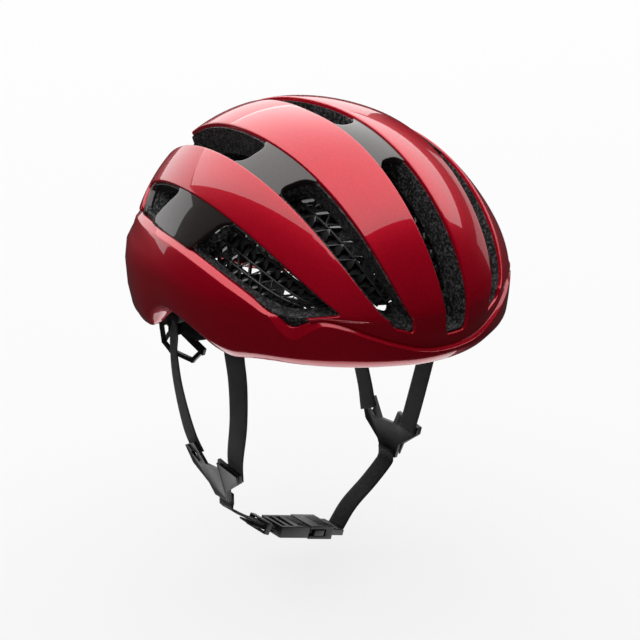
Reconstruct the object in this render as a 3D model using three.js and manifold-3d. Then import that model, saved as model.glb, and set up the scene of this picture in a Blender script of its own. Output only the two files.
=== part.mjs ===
// Road cycling helmet with two shells over a foam body, a cellular liner, a fit system and webbing.
// Millimetres, +Z up, front towards -Y, the wearer's right towards -X.
// The origin is the middle of the head opening, just below the brim.
import * as THREE from "three";
import { mergeVertices } from "three/addons/utils/BufferGeometryUtils.js";
import Module from "manifold-3d";

const wasm = await Module();
wasm.setup();

// ---------------------------------------------------------------- driving dimensions
const outside = { front: 132.3, rear: 146.7, half: 106.1, crown: 137.4 }; // the shell's own reach
const wall = { front: 36, rear: 38, side: 24, crown: 36 }; // shell, foam and liner together
const EQUATOR = 42.9; // height of the widest line
const LIP = 32.3; // how far the brim hangs below that line
const TILT = 4.3; // the front sits this much higher than the rear
const RIM_TURN = THREE.MathUtils.degToRad(104); // how far round the dome the brim lies
// How far the edge hangs below a plain brim: [degrees from the front, millimetres].
const HANG = [[0, 1.5], [12, 1.1], [24, 0], [55, 0], [63, 0.5], [68, 1.8], [73, 3.4], [79, 1.8], [85, -2.4],
  [91, -6.6], [97, -9.2], [102, -8.6], [108, -0.5], [114, 12.5], [121, 17.5], [128, 21.5], [137, 28],
  [147, 30.5], [160, 26], [174, 14], [180, 14]];
const FLARE = { most: 4.3, from: 0.76, at: 0.915, gone: 1.02, turns: [100, 132, 165] }; // rear corners
const INNER_DROP = 0.25; // share of the drop that the inside follows
const TAIL_LIFT = 2.6; // the rib tails rise this much, then fall away
const SKIN = 1.2; // moulded shell
const GAP = 0.3; // between pieces that touch
const SEAT = 0.5; // between curved layers
const BRIM_ROLL = 0.97; // reach where the lower shell starts to turn under
const FOAM_REACH = 0.9912; // reach of the foam's underside, above the rolled lip
const LEDGE = 2.6; // depth of the chamfer along the lower shell's top edge
const LIP_DEPTH = 10; // how far the lower shell rolls under the foam
const FOAM_SHARE = 0.58; // share of the wall that is foam, where the liner backs it
const LINER_SHARE = 0.93; // share of the wall at the liner's inner face
const LINER_EDGE = 0.84; // how far out the liner reaches, on the unit square
const CELLS = { count: 7, web: 0.36 }; // web: share of each cell's pitch that is wall
const PAD = 4; // thickness of the comfort pads
const WEB = { width: 15.5, thick: 1.3 }; // strap webbing
const ANCHOR = { x: 8, y: 20, z: 5.4 };
const ANCHOR_ROWS = { front: { y: -28, depth: 16.2, stand: 0 }, rear: { y: 66, depth: 21, stand: 3.5 } };
const POCKET_PLAY = 0.4;
const DIVIDER = { thick: 2.4, dropLeft: 8, flap: 1.6 };
const BUCKLE = { width: WEB.width + 7, thick: 9, clip: 24, socket: 20, wall: 2.2, play: 0.35 };
const ARM = { width: 9, thick: 1.6, slot: 0.35 };
const TEMPLE = { y: -6, z: 24, radius: 7, thick: 2.4 };
const DIAL = { radius: 12.5, thick: 7, height: -22, stand: 3 };
const LACE = 1.3;

// ---------------------------------------------------------------- solids
const add = (list) => list.reduce((a, b) => a.add(b));
const lerp = THREE.MathUtils.lerp;
const v3 = (x, y, z) => new THREE.Vector3(x, y, z);

function solid(geometry) {
  const bare = geometry.clone();
  bare.deleteAttribute("normal");
  bare.deleteAttribute("uv");
  const merged = mergeVertices(bare, 1e-4);
  return new wasm.Manifold(
    new wasm.Mesh({
      numProp: 3,
      vertProperties: new Float32Array(merged.attributes.position.array),
      triVerts: new Uint32Array(merged.index.array),
    }),
  );
}

function geometryOf(made) {
  const mesh = made.getMesh();
  const geometry = new THREE.BufferGeometry();
  const positions = new THREE.BufferAttribute(new Float32Array(mesh.vertProperties), 3);
  geometry.setAttribute("position", positions);
  geometry.setIndex(new THREE.BufferAttribute(new Uint32Array(mesh.triVerts), 1));
  return geometry;
}

// Moves every vertex of a geometry by a rule that takes and gives a Vector3.
function reshape(geometry, rule) {
  const places = geometry.getAttribute("position");
  for (let i = 0; i < places.count; i += 1) {
    const moved = rule(v3().fromBufferAttribute(places, i));
    places.setXYZ(i, moved.x, moved.y, moved.z);
  }
  return geometry;
}

// A block whose share across, along and up (0 to 1 each) is placed by a rule.
function block([across, along, up], rule) {
  const box = new THREE.BoxGeometry(1, 1, 1, across, along, up);
  return solid(reshape(box, (p) => rule(p.x + 0.5, p.y + 0.5, p.z + 0.5)));
}

function brick(x0, x1, y0, y1, z0, z1) {
  const box = new THREE.BoxGeometry(x1 - x0, y1 - y0, z1 - z0);
  return solid(box.translate((x0 + x1) / 2, (y0 + y1) / 2, (z0 + z1) / 2));
}

// ---------------------------------------------------------------- the dome
// A smooth line through [x, y] pairs.
function through(pairs, x) {
  const last = pairs.length - 1;
  let i = 0;
  while (i < last - 1 && x > pairs[i + 1][0]) i += 1;
  const slope = (k) => {
    const a = pairs[Math.max(k - 1, 0)];
    const b = pairs[Math.min(k + 1, last)];
    return (b[1] - a[1]) / (b[0] - a[0]);
  };
  const [x0, y0] = pairs[i];
  const [x1, y1] = pairs[i + 1];
  const w = x1 - x0;
  const u = THREE.MathUtils.clamp((x - x0) / w, 0, 1);
  const rise = u * u * (3 - 2 * u);
  const bend = u * (1 - u) * w * ((1 - u) * slope(i) - u * slope(i + 1));
  return lerp(y0, y1, rise) + bend;
}

// Degrees round the dome from the front, the same on both sides.
const fromFront = (turn) => Math.abs(THREE.MathUtils.radToDeg(Math.atan2(Math.cos(turn), -Math.sin(turn))));

const brimDrop = (turn) => through(HANG, fromFront(turn));

// A smooth hump: 0 up to a, 1 at b, 0 again from c on.
const hump = (x, a, b, c) => THREE.MathUtils.smoothstep(x, a, b) - THREE.MathUtils.smoothstep(x, b, c);
const flare = (reach, turn) => FLARE.most * hump(reach, FLARE.from, FLARE.at, FLARE.gone)
  * hump(fromFront(turn), ...FLARE.turns);

function tailRise(s, t) {
  const along = through([[-1, 0], [-0.1, 0], [0.42, 1], [0.6, -1.1], [0.85, 0], [1, 0]], t);
  return TAIL_LIFT * along * (1 - THREE.MathUtils.smoothstep(Math.abs(s), 0.46, 0.62));
}

// A place on a dome of a given size: reach is 0 at the crown and 1 at the brim.
function onDome(reach, turn, size, dropShare, lift) {
  const side = Math.cos(turn);
  const along = Math.sin(turn);
  const slope = reach * RIM_TURN;
  const spread = Math.pow(Math.sin(slope), 0.915);
  const fall = Math.cos(slope);
  const above = (size.crown - EQUATOR) * Math.pow(Math.max(fall, 0), 1.354 + 0.109 * side * side);
  const below = (LIP * Math.min(fall, 0)) / Math.abs(Math.cos(RIM_TURN));
  const drop = brimDrop(turn);
  const hang = Math.pow(Math.max((reach - 0.8) / 0.2, 0), 2) * drop * (drop < 0 ? 1 : dropShare);
  const length = along < 0 ? size.front : size.rear;
  const bulge = dropShare === 1 ? flare(reach, turn) : 0;
  return v3((size.half * spread + bulge) * side, (length * spread + bulge) * along,
    EQUATOR + above + below - TILT * along * spread - hang + lift);
}

const inside = {
  front: outside.front - wall.front,
  rear: outside.rear - wall.rear,
  half: outside.half - wall.side,
  crown: outside.crown - wall.crown,
};

// A place in the wall: depth in millimetres from the outside, at reach and turn.
function polar(reach, turn, depth) {
  const across = reach * Math.cos(turn);
  const along = reach * Math.sin(turn);
  const outer = onDome(reach, turn, outside, 1, tailRise(across, along));
  const inner = onDome(reach, turn, inside, INNER_DROP, 0);
  const inwards = inner.sub(outer);
  return { thick: inwards.length(), at: outer.addScaledVector(inwards.normalize(), depth) };
}

// The same on a square wrapped over the dome: s from the wearer's right (-1) to left (1),
// t from front (-1) to rear (1).
function wrapped(s, t, depth) {
  const across = s * Math.sqrt(1 - (t * t) / 2);
  const along = t * Math.sqrt(1 - (s * s) / 2);
  return polar(Math.hypot(across, along), Math.atan2(along, across), depth);
}
const place = (s, t, depth) => wrapped(s, t, depth).at;
const thickness = (s, t) => wrapped(s, t, 0).thick;

// A slab in the wall over a patch of the square. Each edge is a number or a rule:
// left and right take t, front and rear take the share across.
function slab(segments, patch, top, bottom) {
  const value = (edge, x) => (typeof edge === "function" ? edge(x) : edge);
  return block(segments, (u, v, w) => {
    const t = lerp(value(patch.front, u), value(patch.rear, u), v);
    const s = lerp(value(patch.left, t), value(patch.right, t), u);
    const wide = thickness(s, t);
    return place(s, t, lerp(bottom(wide), top(wide), w));
  });
}

// ---------------------------------------------------------------- ribs, vents and bridges
// Distance of each rib edge from the middle line, on the square.
const centreEdge = (t) => 0.0389 - 0.0637 * t;
const innerEdge = (t) => 0.2116 - 0.1007 * t;
const outerEdge = (t) => 0.3348 - 0.1254 * t;
const sideEdge = (t) => 0.4793 - 0.1227 * t;
const bandLine = (t) => 0.655 - 0.215 * t;
const VENT_END = 0.64; // the rear vents run out between the tails
const SIDE_END = 0.44; // but the side ones stop short, inside the foam
const TAIL_END = (s) => 0.36 + 0.28 * Math.abs(s);
const FOAM_SHOWS = 0.008; // foam left bare along the lower shell's edge, inside the side vents

// One channel: its edges, where the bridge crosses it and where its front vent starts.
const channels = [
  { name: "center", left: (t) => -centreEdge(t), right: centreEdge, end: VENT_END,
    nose: -0.93, bridge: [-0.255, -0.11] },
  { name: "upper_right", left: (t) => -outerEdge(t), right: (t) => -innerEdge(t), end: VENT_END,
    nose: (u) => lerp(-0.862, -0.905, u), bridge: [(u) => lerp(-0.145, -0.2, u), (u) => lerp(0, -0.04, u)] },
  { name: "side_right", left: (t) => -bandLine(t) + FOAM_SHOWS, right: (t) => -sideEdge(t), end: SIDE_END,
    nose: (u) => lerp(-0.64, -0.705, u), bridge: [(u) => lerp(0.055, -0.07, u), (u) => lerp(0.315, 0.155, u)] },
];
const mirroredRule = (rule) => (typeof rule === "function" ? (u) => rule(1 - u) : rule);
for (const near of channels.slice(1)) {
  channels.push({
    name: near.name.replace("right", "left"),
    left: (t) => -near.right(t),
    right: (t) => -near.left(t),
    end: near.end,
    nose: mirroredRule(near.nose),
    bridge: near.bridge.map(mirroredRule),
  });
}

const THROUGH = 70; // longer than any wall
const cutTop = () => -12;
const cutBottom = () => THROUGH;
function channelCut(channel, front, rear) {
  return slab([1, 6, 1], { left: channel.left, right: channel.right, front, rear }, cutTop, cutBottom);
}
const vents = channels.flatMap((c) => [
  channelCut(c, c.nose, c.bridge[0]),
  channelCut(c, c.bridge[1], c.end),
]);
const openChannels = channels.map((c) => channelCut(c, c.nose, VENT_END));

// Height of the lower shell's top edge, as reach for each angle from the front.
const BAND_TOP = [[0, 0.955], [10, 0.95], [20.5, 0.928], [30, 0.9], [37, 0.877], [43, 0.868], [48, 0.877],
  [53, 0.892], [58, 0.858], [65.5, 0.768], [75, 0.706], [86, 0.662], [99, 0.638], [113, 0.645],
  [130, 0.68], [150, 0.72], [180, 0.74]];
const bandTop = (turn) => through(BAND_TOP, fromFront(turn));
const CHAMFER = { front: 0.01, side: 0.028, turns: [43, 52] }; // width of the chamfer below that edge
const chamferAt = (turn) => lerp(CHAMFER.front, CHAMFER.side,
  THREE.MathUtils.smoothstep(fromFront(turn), ...CHAMFER.turns));

// A closed ring round the dome. Its profile is [station, depth] pairs: stations 0 to CHAMFERED run
// down the chamfer of the lower shell's top edge, on to 1 down to the roll of the brim, and 1 to 2
// from there to the brim itself.
const RING_STEPS = 72;
const CHAMFERED = 0.15;
function ring(profile) {
  const points = [...profile, profile[0]].map(([station, depth]) => new THREE.Vector2(10 + station, -depth));
  const lathe = new THREE.LatheGeometry(points, RING_STEPS);
  return solid(reshape(lathe, (p) => {
    const turn = Math.atan2(-p.x, p.z);
    const station = Math.hypot(p.x, p.z) - 10;
    const top = bandTop(turn);
    const under = top + chamferAt(turn);
    let reach = lerp(BRIM_ROLL, 1, station - 1);
    if (station < CHAMFERED) reach = lerp(top, under, station / CHAMFERED);
    else if (station < 1) reach = lerp(under, BRIM_ROLL, (station - CHAMFERED) / (1 - CHAMFERED));
    return polar(reach, turn, -p.y).at;
  }));
}
const brimStation = (reach) => 1 + (reach - BRIM_ROLL) / (1 - BRIM_ROLL);

const underSkin = () => SKIN + SEAT;
const wholeWall = (wide) => wide;
const square = (edge) => ({ left: -edge, right: edge, front: -edge, rear: edge });
const GRID = 18;

// ---------------------------------------------------------------- parts
const helmet = new THREE.Group();
const gloss = { roughness: 0.18, metalness: 0.1 };
const matt = { roughness: 0.75, metalness: 0 };
const finishes = {
  red: { color: 0x8c0a1c, ...gloss },
  smoke: { color: 0x4a4140, ...gloss },
  foam: { color: 0x1b1b1c, ...matt },
  cell: { color: 0x101012, roughness: 0.3, metalness: 0 },
  pad: { color: 0x161617, roughness: 0.95, metalness: 0 },
  webbing: { color: 0x17171a, roughness: 0.85, metalness: 0 },
  plastic: { color: 0x2b2b2d, roughness: 0.5, metalness: 0 },
};

function part(name, made, finish, parent = helmet) {
  const material = new THREE.MeshStandardMaterial(finishes[finish]);
  const mesh = new THREE.Mesh(geometryOf(made), material);
  mesh.name = name;
  parent.add(mesh);
  return mesh;
}

// The largest body of a solid, without the slivers that a cut leaves at its edges.
const SLIVER = 0.03;
const mainBody = (made) => made.simplify(SLIVER).decompose().sort((a, b) => b.volume() - a.volume())[0];

// Strap anchors sit in pockets in the foam's underside, inside the rolled lip.
const anchorPlace = (side, row) => {
  const share = row.y / (row.y < 0 ? outside.front : outside.rear);
  return polar(FOAM_REACH, Math.atan2(share, side * Math.sqrt(1 - share * share)), row.depth).at;
};
function anchor(side, row, play) {
  const p = anchorPlace(side, row);
  const hx = ANCHOR.x / 2 + play;
  const hy = ANCHOR.y / 2 + play;
  const low = play ? 20 : row.stand;
  return brick(p.x - hx, p.x + hx, p.y - hy, p.y + hy, p.z - low, p.z + ANCHOR.z + play);
}
const strapRows = Object.entries(ANCHOR_ROWS);
const sides = [["right", -1], ["left", 1]];

// Foam body: the wall less the shells, the vents, the liner's pocket and the anchors' pockets.
const LINER_PLAY = 0.008; // round the liner's edge, on the square
const linerPocket = slab([CELLS.count, CELLS.count, 1], square(LINER_EDGE),
  (wide) => wide * FOAM_SHARE, (wide) => wide + 6);
const tailRecess = slab([10, 2, 1],
  { left: -0.5, right: 0.5, front: (u) => TAIL_END(lerp(-0.5, 0.5, u)) + 0.012, rear: 0.7 },
  () => -14, () => 7);
const foamStation = brimStation(FOAM_REACH);
const bandStations = [CHAMFERED, 0.5, 1, foamStation];
const bandLineAt = (depth) => bandStations.map((station) => [station, depth]);
const lowerShellRoom = ring([[-0.1, -8], ...bandLineAt(-8), [2.3, -8], [2.3, THROUGH - 5],
  [foamStation, THROUGH - 5], ...bandLineAt(SKIN + SEAT).reverse(),
  [0, LEDGE + SKIN + SEAT], [-0.1, LEDGE + SKIN + SEAT]]);
const foam = slab([GRID, GRID, 1], square(1), underSkin, wholeWall)
  .subtract(linerPocket)
  .subtract(tailRecess)
  .subtract(lowerShellRoom)
  .subtract(add(vents))
  .subtract(add(strapRows.flatMap(([, row]) => sides.map(([, side]) => anchor(side, row, POCKET_PLAY)))));
part("foam_liner", mainBody(foam), "foam");

// Upper shell: ribs and front cap over the foam, down to the lower shell's edge.
const skinLayer = slab([GRID, GRID, 1], square(1), () => 0, () => SKIN);
const bandRoom = ring([[-0.1, -14], ...bandLineAt(-14), [2.3, -14], [2.3, 20],
  ...bandLineAt(20).reverse(), [-0.1, 20]]);
const behindTails = (edge) => slab([10, 2, 1], { left: -1, right: 1,
  front: (u) => TAIL_END(lerp(-1, 1, u)) + edge, rear: 1 }, () => -14, () => 14);
const outboard = (side) => slab([1, 6, 1], {
  left: (t) => (side < 0 ? -1 : bandLine(t) - FOAM_SHOWS),
  right: (t) => (side < 0 ? -bandLine(t) + FOAM_SHOWS : 1),
  front: -0.55,
  rear: 1,
}, () => -14, () => 14);
const upperShell = skinLayer
  .subtract(bandRoom)
  .subtract(add(openChannels))
  .subtract(behindTails(0))
  .subtract(outboard(-1))
  .subtract(outboard(1));
part("upper_shell", mainBody(upperShell), "red");

// Lower shell: a band with a chamfered top edge and a lip rolled under the foam.
const lipStation = brimStation(FOAM_REACH + 0.005);
const lowerShell = ring([[0, LEDGE], ...bandLineAt(0), [2, 0], [2, LIP_DEPTH], [lipStation, LIP_DEPTH],
  [lipStation, SKIN], ...bandLineAt(SKIN).reverse(), [0, LEDGE + SKIN]]);
part("lower_shell", lowerShell, "red");

// Smoked bridges, one across each channel, resting on the foam that spans it.
const BRIDGE_INSET = 0.53 / outside.half;
for (const channel of channels) {
  const bridge = skinLayer.intersect(slab([1, 6, 1], {
    left: (t) => channel.left(t) + BRIDGE_INSET,
    right: (t) => channel.right(t) - BRIDGE_INSET,
    front: channel.bridge[0],
    rear: channel.bridge[1],
  }, cutTop, cutBottom));
  part("bridge_" + channel.name, mainBody(bridge.subtract(bandRoom)), "smoke");
}

// Cellular liner: a curved slab pierced by a grid of cells.
const cellCut = (i, j) => {
  const span = (2 * LINER_EDGE) / CELLS.count;
  const edge = CELLS.web / 2;
  return slab([1, 1, 1], {
    left: -LINER_EDGE + (i + edge) * span,
    right: -LINER_EDGE + (i + 1 - edge) * span,
    front: -LINER_EDGE + (j + edge) * span,
    rear: -LINER_EDGE + (j + 1 - edge) * span,
  }, (wide) => wide * FOAM_SHARE - 4, (wide) => wide + 6);
};
const cellCuts = [];
for (let i = 0; i < CELLS.count; i += 1) {
  for (let j = 0; j < CELLS.count; j += 1) cellCuts.push(cellCut(i, j));
}
// A layer that shares the liner's facets, so that pieces on it lie parallel to it.
const onLiner = (top, bottom) => slab([CELLS.count, CELLS.count, 1], square(LINER_EDGE), top, bottom);
const trimTo = (patch, steps = 4) => slab([steps, steps, 1], patch, cutTop, cutBottom);
const liner = onLiner((wide) => wide * FOAM_SHARE + 2 * SEAT, (wide) => wide * LINER_SHARE)
  .intersect(trimTo(square(LINER_EDGE - LINER_PLAY), CELLS.count))
  .subtract(add(cellCuts));
part("cellular_liner", liner, "cell");

// Comfort pads on the liner's inner face.
const padLayer = onLiner((wide) => wide * LINER_SHARE + 1.4 * SEAT,
  (wide) => wide * LINER_SHARE + 1.4 * SEAT + PAD);
const pads = {
  brow_pad: { left: -0.62, right: 0.62, front: -0.82, rear: -0.66 },
  crown_pad: { left: -0.07, right: 0.07, front: -0.42, rear: 0.34 },
  side_pad_right: { left: -0.44, right: -0.32, front: -0.45, rear: 0.35 },
  side_pad_left: { left: 0.32, right: 0.44, front: -0.45, rear: 0.35 },
};
for (const [name, patch] of Object.entries(pads)) part(name, padLayer.intersect(trimTo(patch)), "pad");

// ---------------------------------------------------------------- webbing
// A ribbon along points, its broad side turned from one direction to another.
function ribbon(points, wideFrom, wideTo, size = WEB, steps = 14) {
  const curve = new THREE.CatmullRomCurve3(points);
  return block([1, steps, 1], (u, v, w) => {
    const heading = curve.getTangentAt(v);
    const wide = wideFrom.clone().lerp(wideTo, v);
    wide.addScaledVector(heading, -wide.dot(heading)).normalize();
    const thin = wide.clone().cross(heading);
    return curve.getPointAt(v)
      .addScaledVector(wide, (u - 0.5) * size.width)
      .addScaledVector(thin, (w - 0.5) * size.thick);
  });
}

const heading = (degrees, side) => {
  const turn = THREE.MathUtils.degToRad(degrees);
  return v3(side * -Math.sin(turn), Math.cos(turn), 0);
};
// Divider outline as [y, z] on its own plane, seen from the wearer's side.
const DIVIDER_OUTLINE = [[49, -88], [38, -82], [28, -94], [15, -93], [12, -84], [-10, -88],
  [-9, -94], [6, -105], [8, -115], [23, -115], [28, -108], [43, -99]];
const FLAP_OUTLINE = [[11.5, -86], [7.5, -113], [5, -105], [-9, -93.5], [-9.5, -88.5]];
const DIVIDER_TOP = { x: 75, z: -82 };
const DIVIDER_LEAN = 0.18; // the plate leans in towards the chin
const dividerX = (z) => DIVIDER_TOP.x - DIVIDER_LEAN * (DIVIDER_TOP.z - z);
const dividerFloor = Math.min(...DIVIDER_OUTLINE.map(([, z]) => z));
const behindDivider = DIVIDER.thick + 2 * GAP + WEB.thick / 2 + 0.2;

for (const [sideName, side] of sides) {
  const low = side > 0 ? DIVIDER.dropLeft : 0;
  for (const [rowName, row] of strapRows) {
    part("anchor_" + rowName + "_" + sideName, anchor(side, row, 0), "plastic");
  }
  const [frontTop, rearTop] = strapRows.map(([, row]) => {
    const top = anchorPlace(side, row);
    return top.setZ(top.z - row.stand - 4 * GAP);
  });
  const turnFront = side < 0 ? -20 : 0;
  const turnRear = side < 0 ? 24 : 0;
  const slack = side < 0 ? 0 : 1; // the left rear strap hangs in a looser curve
  part("strap_front_" + sideName, ribbon([
    frontTop,
    v3(frontTop.x - side * 1.5, frontTop.y + 1, frontTop.z - 10),
    v3(side * 79, -17, -20),
    v3(side * 74.5, -11, -50 - low * 0.5),
    v3(side * (dividerX(-80) - behindDivider), -3, -80 - low),
    v3(side * (dividerX(-93) - behindDivider), -0.5, -93 - low),
  ], heading(turnFront, side), heading(0, side)), "webbing");
  part("strap_rear_" + sideName, ribbon([
    rearTop,
    v3(rearTop.x - side * 0.5, rearTop.y + 0.5, rearTop.z - 8),
    v3(side * 73.5, 60 + 12 * slack, -22),
    v3(side * 74, 56 + 7 * slack, -45 - low * 0.5),
    v3(side * (dividerX(-78) - behindDivider), 46, -78 - low),
    v3(side * (dividerX(-91) - behindDivider), 40, -91 - low),
  ], heading(turnRear, side), heading(0, side)), "webbing");

  // Divider: a flat plate with two rungs on its rear arm and a slot on its front arm.
  const outline = new THREE.Shape(DIVIDER_OUTLINE.map(([y, z]) => new THREE.Vector2(y, z - low)));
  const plate = new THREE.ExtrudeGeometry(outline, { depth: DIVIDER.thick, bevelEnabled: false });
  const standing = reshape(plate, (p) => v3(side * (dividerX(p.y + low) - p.z), p.x, p.y));
  if (side > 0) flip(standing);
  const slots = [];
  const slot = (y, z, length, turn) => {
    const box = new THREE.BoxGeometry(20, length, 2.2).rotateX(THREE.MathUtils.degToRad(turn));
    slots.push(solid(box.translate(side * 70, y, z - low)));
  };
  slot(41, -88.5, 9, 31);
  slot(38.5, -92.5, 9, 31);
  slot(2, -92, 10, 12);
  part("divider_" + sideName, solid(standing).subtract(add(slots)), "plastic");

  // Locking flap over the front arm, hinged down its rear edge.
  const flapShape = new THREE.Shape(FLAP_OUTLINE.map(([y, z]) => new THREE.Vector2(y, z - low)));
  const flap = new THREE.ExtrudeGeometry(flapShape, { depth: DIVIDER.flap, bevelEnabled: false });
  const flapUp = reshape(flap, (p) => v3(side * (dividerX(p.y + low) + GAP + p.z), p.x, p.y));
  if (side < 0) flip(flapUp);
  part("divider_flap_" + sideName, solid(flapUp), "plastic");
}

// Turns a mesh's faces round, for one that a mirrored rule has turned inside out.
function flip(geometry) {
  const places = geometry.getAttribute("position");
  for (let i = 0; i < places.count; i += 3) {
    const a = v3().fromBufferAttribute(places, i + 1);
    const b = v3().fromBufferAttribute(places, i + 2);
    places.setXYZ(i + 1, b.x, b.y, b.z);
    places.setXYZ(i + 2, a.x, a.y, a.z);
  }
  return geometry;
}

// ---------------------------------------------------------------- chin buckle
const BUCKLE_TURN = THREE.MathUtils.degToRad(17.7);
const BUCKLE_MIDDLE = v3(-11, 8, -150);
const buckle = new THREE.Group();
buckle.position.copy(BUCKLE_MIDDLE);
buckle.rotation.y = BUCKLE_TURN;
helmet.add(buckle);
const half = BUCKLE.width / 2;
const tall = BUCKLE.thick / 2;
const inner = half - BUCKLE.wall;
const roof = tall - BUCKLE.wall;
const MOUTH = -2;
const socketEnd = MOUTH + BUCKLE.socket;
const LOOP = 10;
const WEB_SLOT = 4;
const webHalf = WEB.width / 2 + 0.6;

// Female half: a box open at its mouth and along its two sides, with a loop for the far strap.
const socket = add([
  brick(MOUTH, socketEnd, -half, half, -tall, tall),
  brick(socketEnd - 1, socketEnd + LOOP, -half + 0.8, half - 0.8, -tall * 0.45, tall * 0.45),
])
  .subtract(brick(MOUTH - 1, socketEnd - 3, -inner, inner, -roof, roof))
  .subtract(brick(MOUTH - 1, MOUTH + 14, -half - 1, half + 1, -roof, roof))
  .subtract(brick(socketEnd + 2, socketEnd + 2 + WEB_SLOT, -webHalf, webHalf, -tall, tall));
part("buckle_socket", socket, "plastic", buckle);

// Male half: a base with the adjusting slot, and a guide tongue between the two prongs.
const baseEnd = MOUTH - GAP;
const baseStart = baseEnd - BUCKLE.clip;
const tongueEnd = socketEnd - 4;
const clip = add([
  brick(baseStart, baseEnd, -half, half, -tall * 0.85, tall * 0.85),
  brick(baseEnd - 1, tongueEnd, -3, 3, -roof + BUCKLE.play, roof - BUCKLE.play),
])
  .subtract(brick(baseStart + 2.2, baseStart + 2.2 + WEB_SLOT, -webHalf, webHalf, -tall, tall))
  .subtract(brick(baseStart + 8.6, baseStart + 8.6 + WEB_SLOT, -webHalf, webHalf, -tall, tall));
part("buckle_clip", clip, "plastic", buckle);

// Sprung prongs, one each side of the tongue.
const prongOut = inner - BUCKLE.play;
for (const [name, way] of [["buckle_prong_front", -1], ["buckle_prong_rear", 1]]) {
  const arm = brick(baseEnd + GAP, tongueEnd - 1, Math.min(way * (prongOut - 3), way * prongOut),
    Math.max(way * (prongOut - 3), way * prongOut), -roof + BUCKLE.play, roof - BUCKLE.play);
  const button = brick(MOUTH + 4, MOUTH + 12, Math.min(way * (prongOut - 1), way * (half + 0.6)),
    Math.max(way * (prongOut - 1), way * (half + 0.6)), -roof + BUCKLE.play, roof - BUCKLE.play);
  part(name, arm.add(button), "plastic", buckle);
}

// Chin straps: the right one ends at the clip, the left one at the socket's loop.
const across = v3(0, 1, 0);
const local = (x, z) => BUCKLE_MIDDLE.clone()
  .add(v3(x, 0, z).applyAxisAngle(across, BUCKLE_TURN));
const clipEye = local(baseStart - 1.5, 1.7);
const loopEye = local(socketEnd + LOOP + GAP + 0.9, 0.4);
const underDivider = (side, low) => v3(side * (dividerX(dividerFloor) - DIVIDER.thick / 2), 15.5,
  dividerFloor - low - 5 * GAP);
part("chin_strap_right", ribbon([
  underDivider(-1, 0), v3(-65.8, 14.8, -121), v3(-57.5, 12, -128), v3(-47, 9.5, -135.2), clipEye,
], across, across), "webbing");
part("chin_strap_left", ribbon([
  underDivider(1, DIVIDER.dropLeft), v3(62.5, 14.8, -127.4), v3(49.5, 13, -136), v3(29.5, 10.5, -147.5), loopEye,
], across, across), "webbing");

// The loose end, doubled back under the strap and held by a keeper.
const tailStart = local(baseStart - 1.4, -1.7);
part("strap_tail", ribbon([
  tailStart, v3(-46, 9, -138.4), v3(-54.5, 10, -133.3),
], across, across, { width: WEB.width, thick: WEB.thick * 1.2 }, 6), "webbing");

const keeper = new THREE.Group();
keeper.position.copy(v3(-44.3, 8.9, -138));
keeper.rotation.y = THREE.MathUtils.degToRad(28.5);
helmet.add(keeper);
const keeperHalf = WEB.width / 2 + 0.6;
const KEEPER_TALL = 2.8;
part("strap_keeper",
  brick(-2.2, 2.2, -keeperHalf - 1.4, keeperHalf + 1.4, -KEEPER_TALL - 1.2, KEEPER_TALL + 1.2)
    .subtract(brick(-3, 3, -keeperHalf, keeperHalf, -KEEPER_TALL, KEEPER_TALL)),
  "plastic", keeper);

// ---------------------------------------------------------------- fit system
// Temple anchors on the foam's inner wall, and arms that run back from them.
const templeX = inside.half * 0.97 - 0.1;
const armX = 64; // where the arms run straight back, so that the cradle can slide on them
const armZ = -13;
const armRun = [48, 80];
const up = v3(0, 0, 1);
for (const [sideName, side] of sides) {
  const disc = new THREE.CylinderGeometry(TEMPLE.radius, TEMPLE.radius, TEMPLE.thick, 20);
  disc.rotateZ(Math.PI / 2).translate(side * (templeX - TEMPLE.thick / 2), TEMPLE.y, TEMPLE.z);
  part("temple_anchor_" + sideName, solid(disc), "plastic");
  const bend = ribbon([
    v3(side * (templeX - TEMPLE.thick - 2.5 * GAP - ARM.thick / 2), TEMPLE.y, TEMPLE.z),
    v3(side * (templeX - 7), 14, 10),
    v3(side * (armX + 3), 32, -5),
    v3(side * armX, armRun[0] + 1, armZ),
  ], up, up, { width: ARM.width, thick: ARM.thick }, 10);
  const straight = brick(side * armX - ARM.thick / 2, side * armX + ARM.thick / 2, ...armRun,
    armZ - ARM.width / 2, armZ + ARM.width / 2);
  part("fit_arm_" + sideName, bend.add(straight), "plastic");
}

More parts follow.
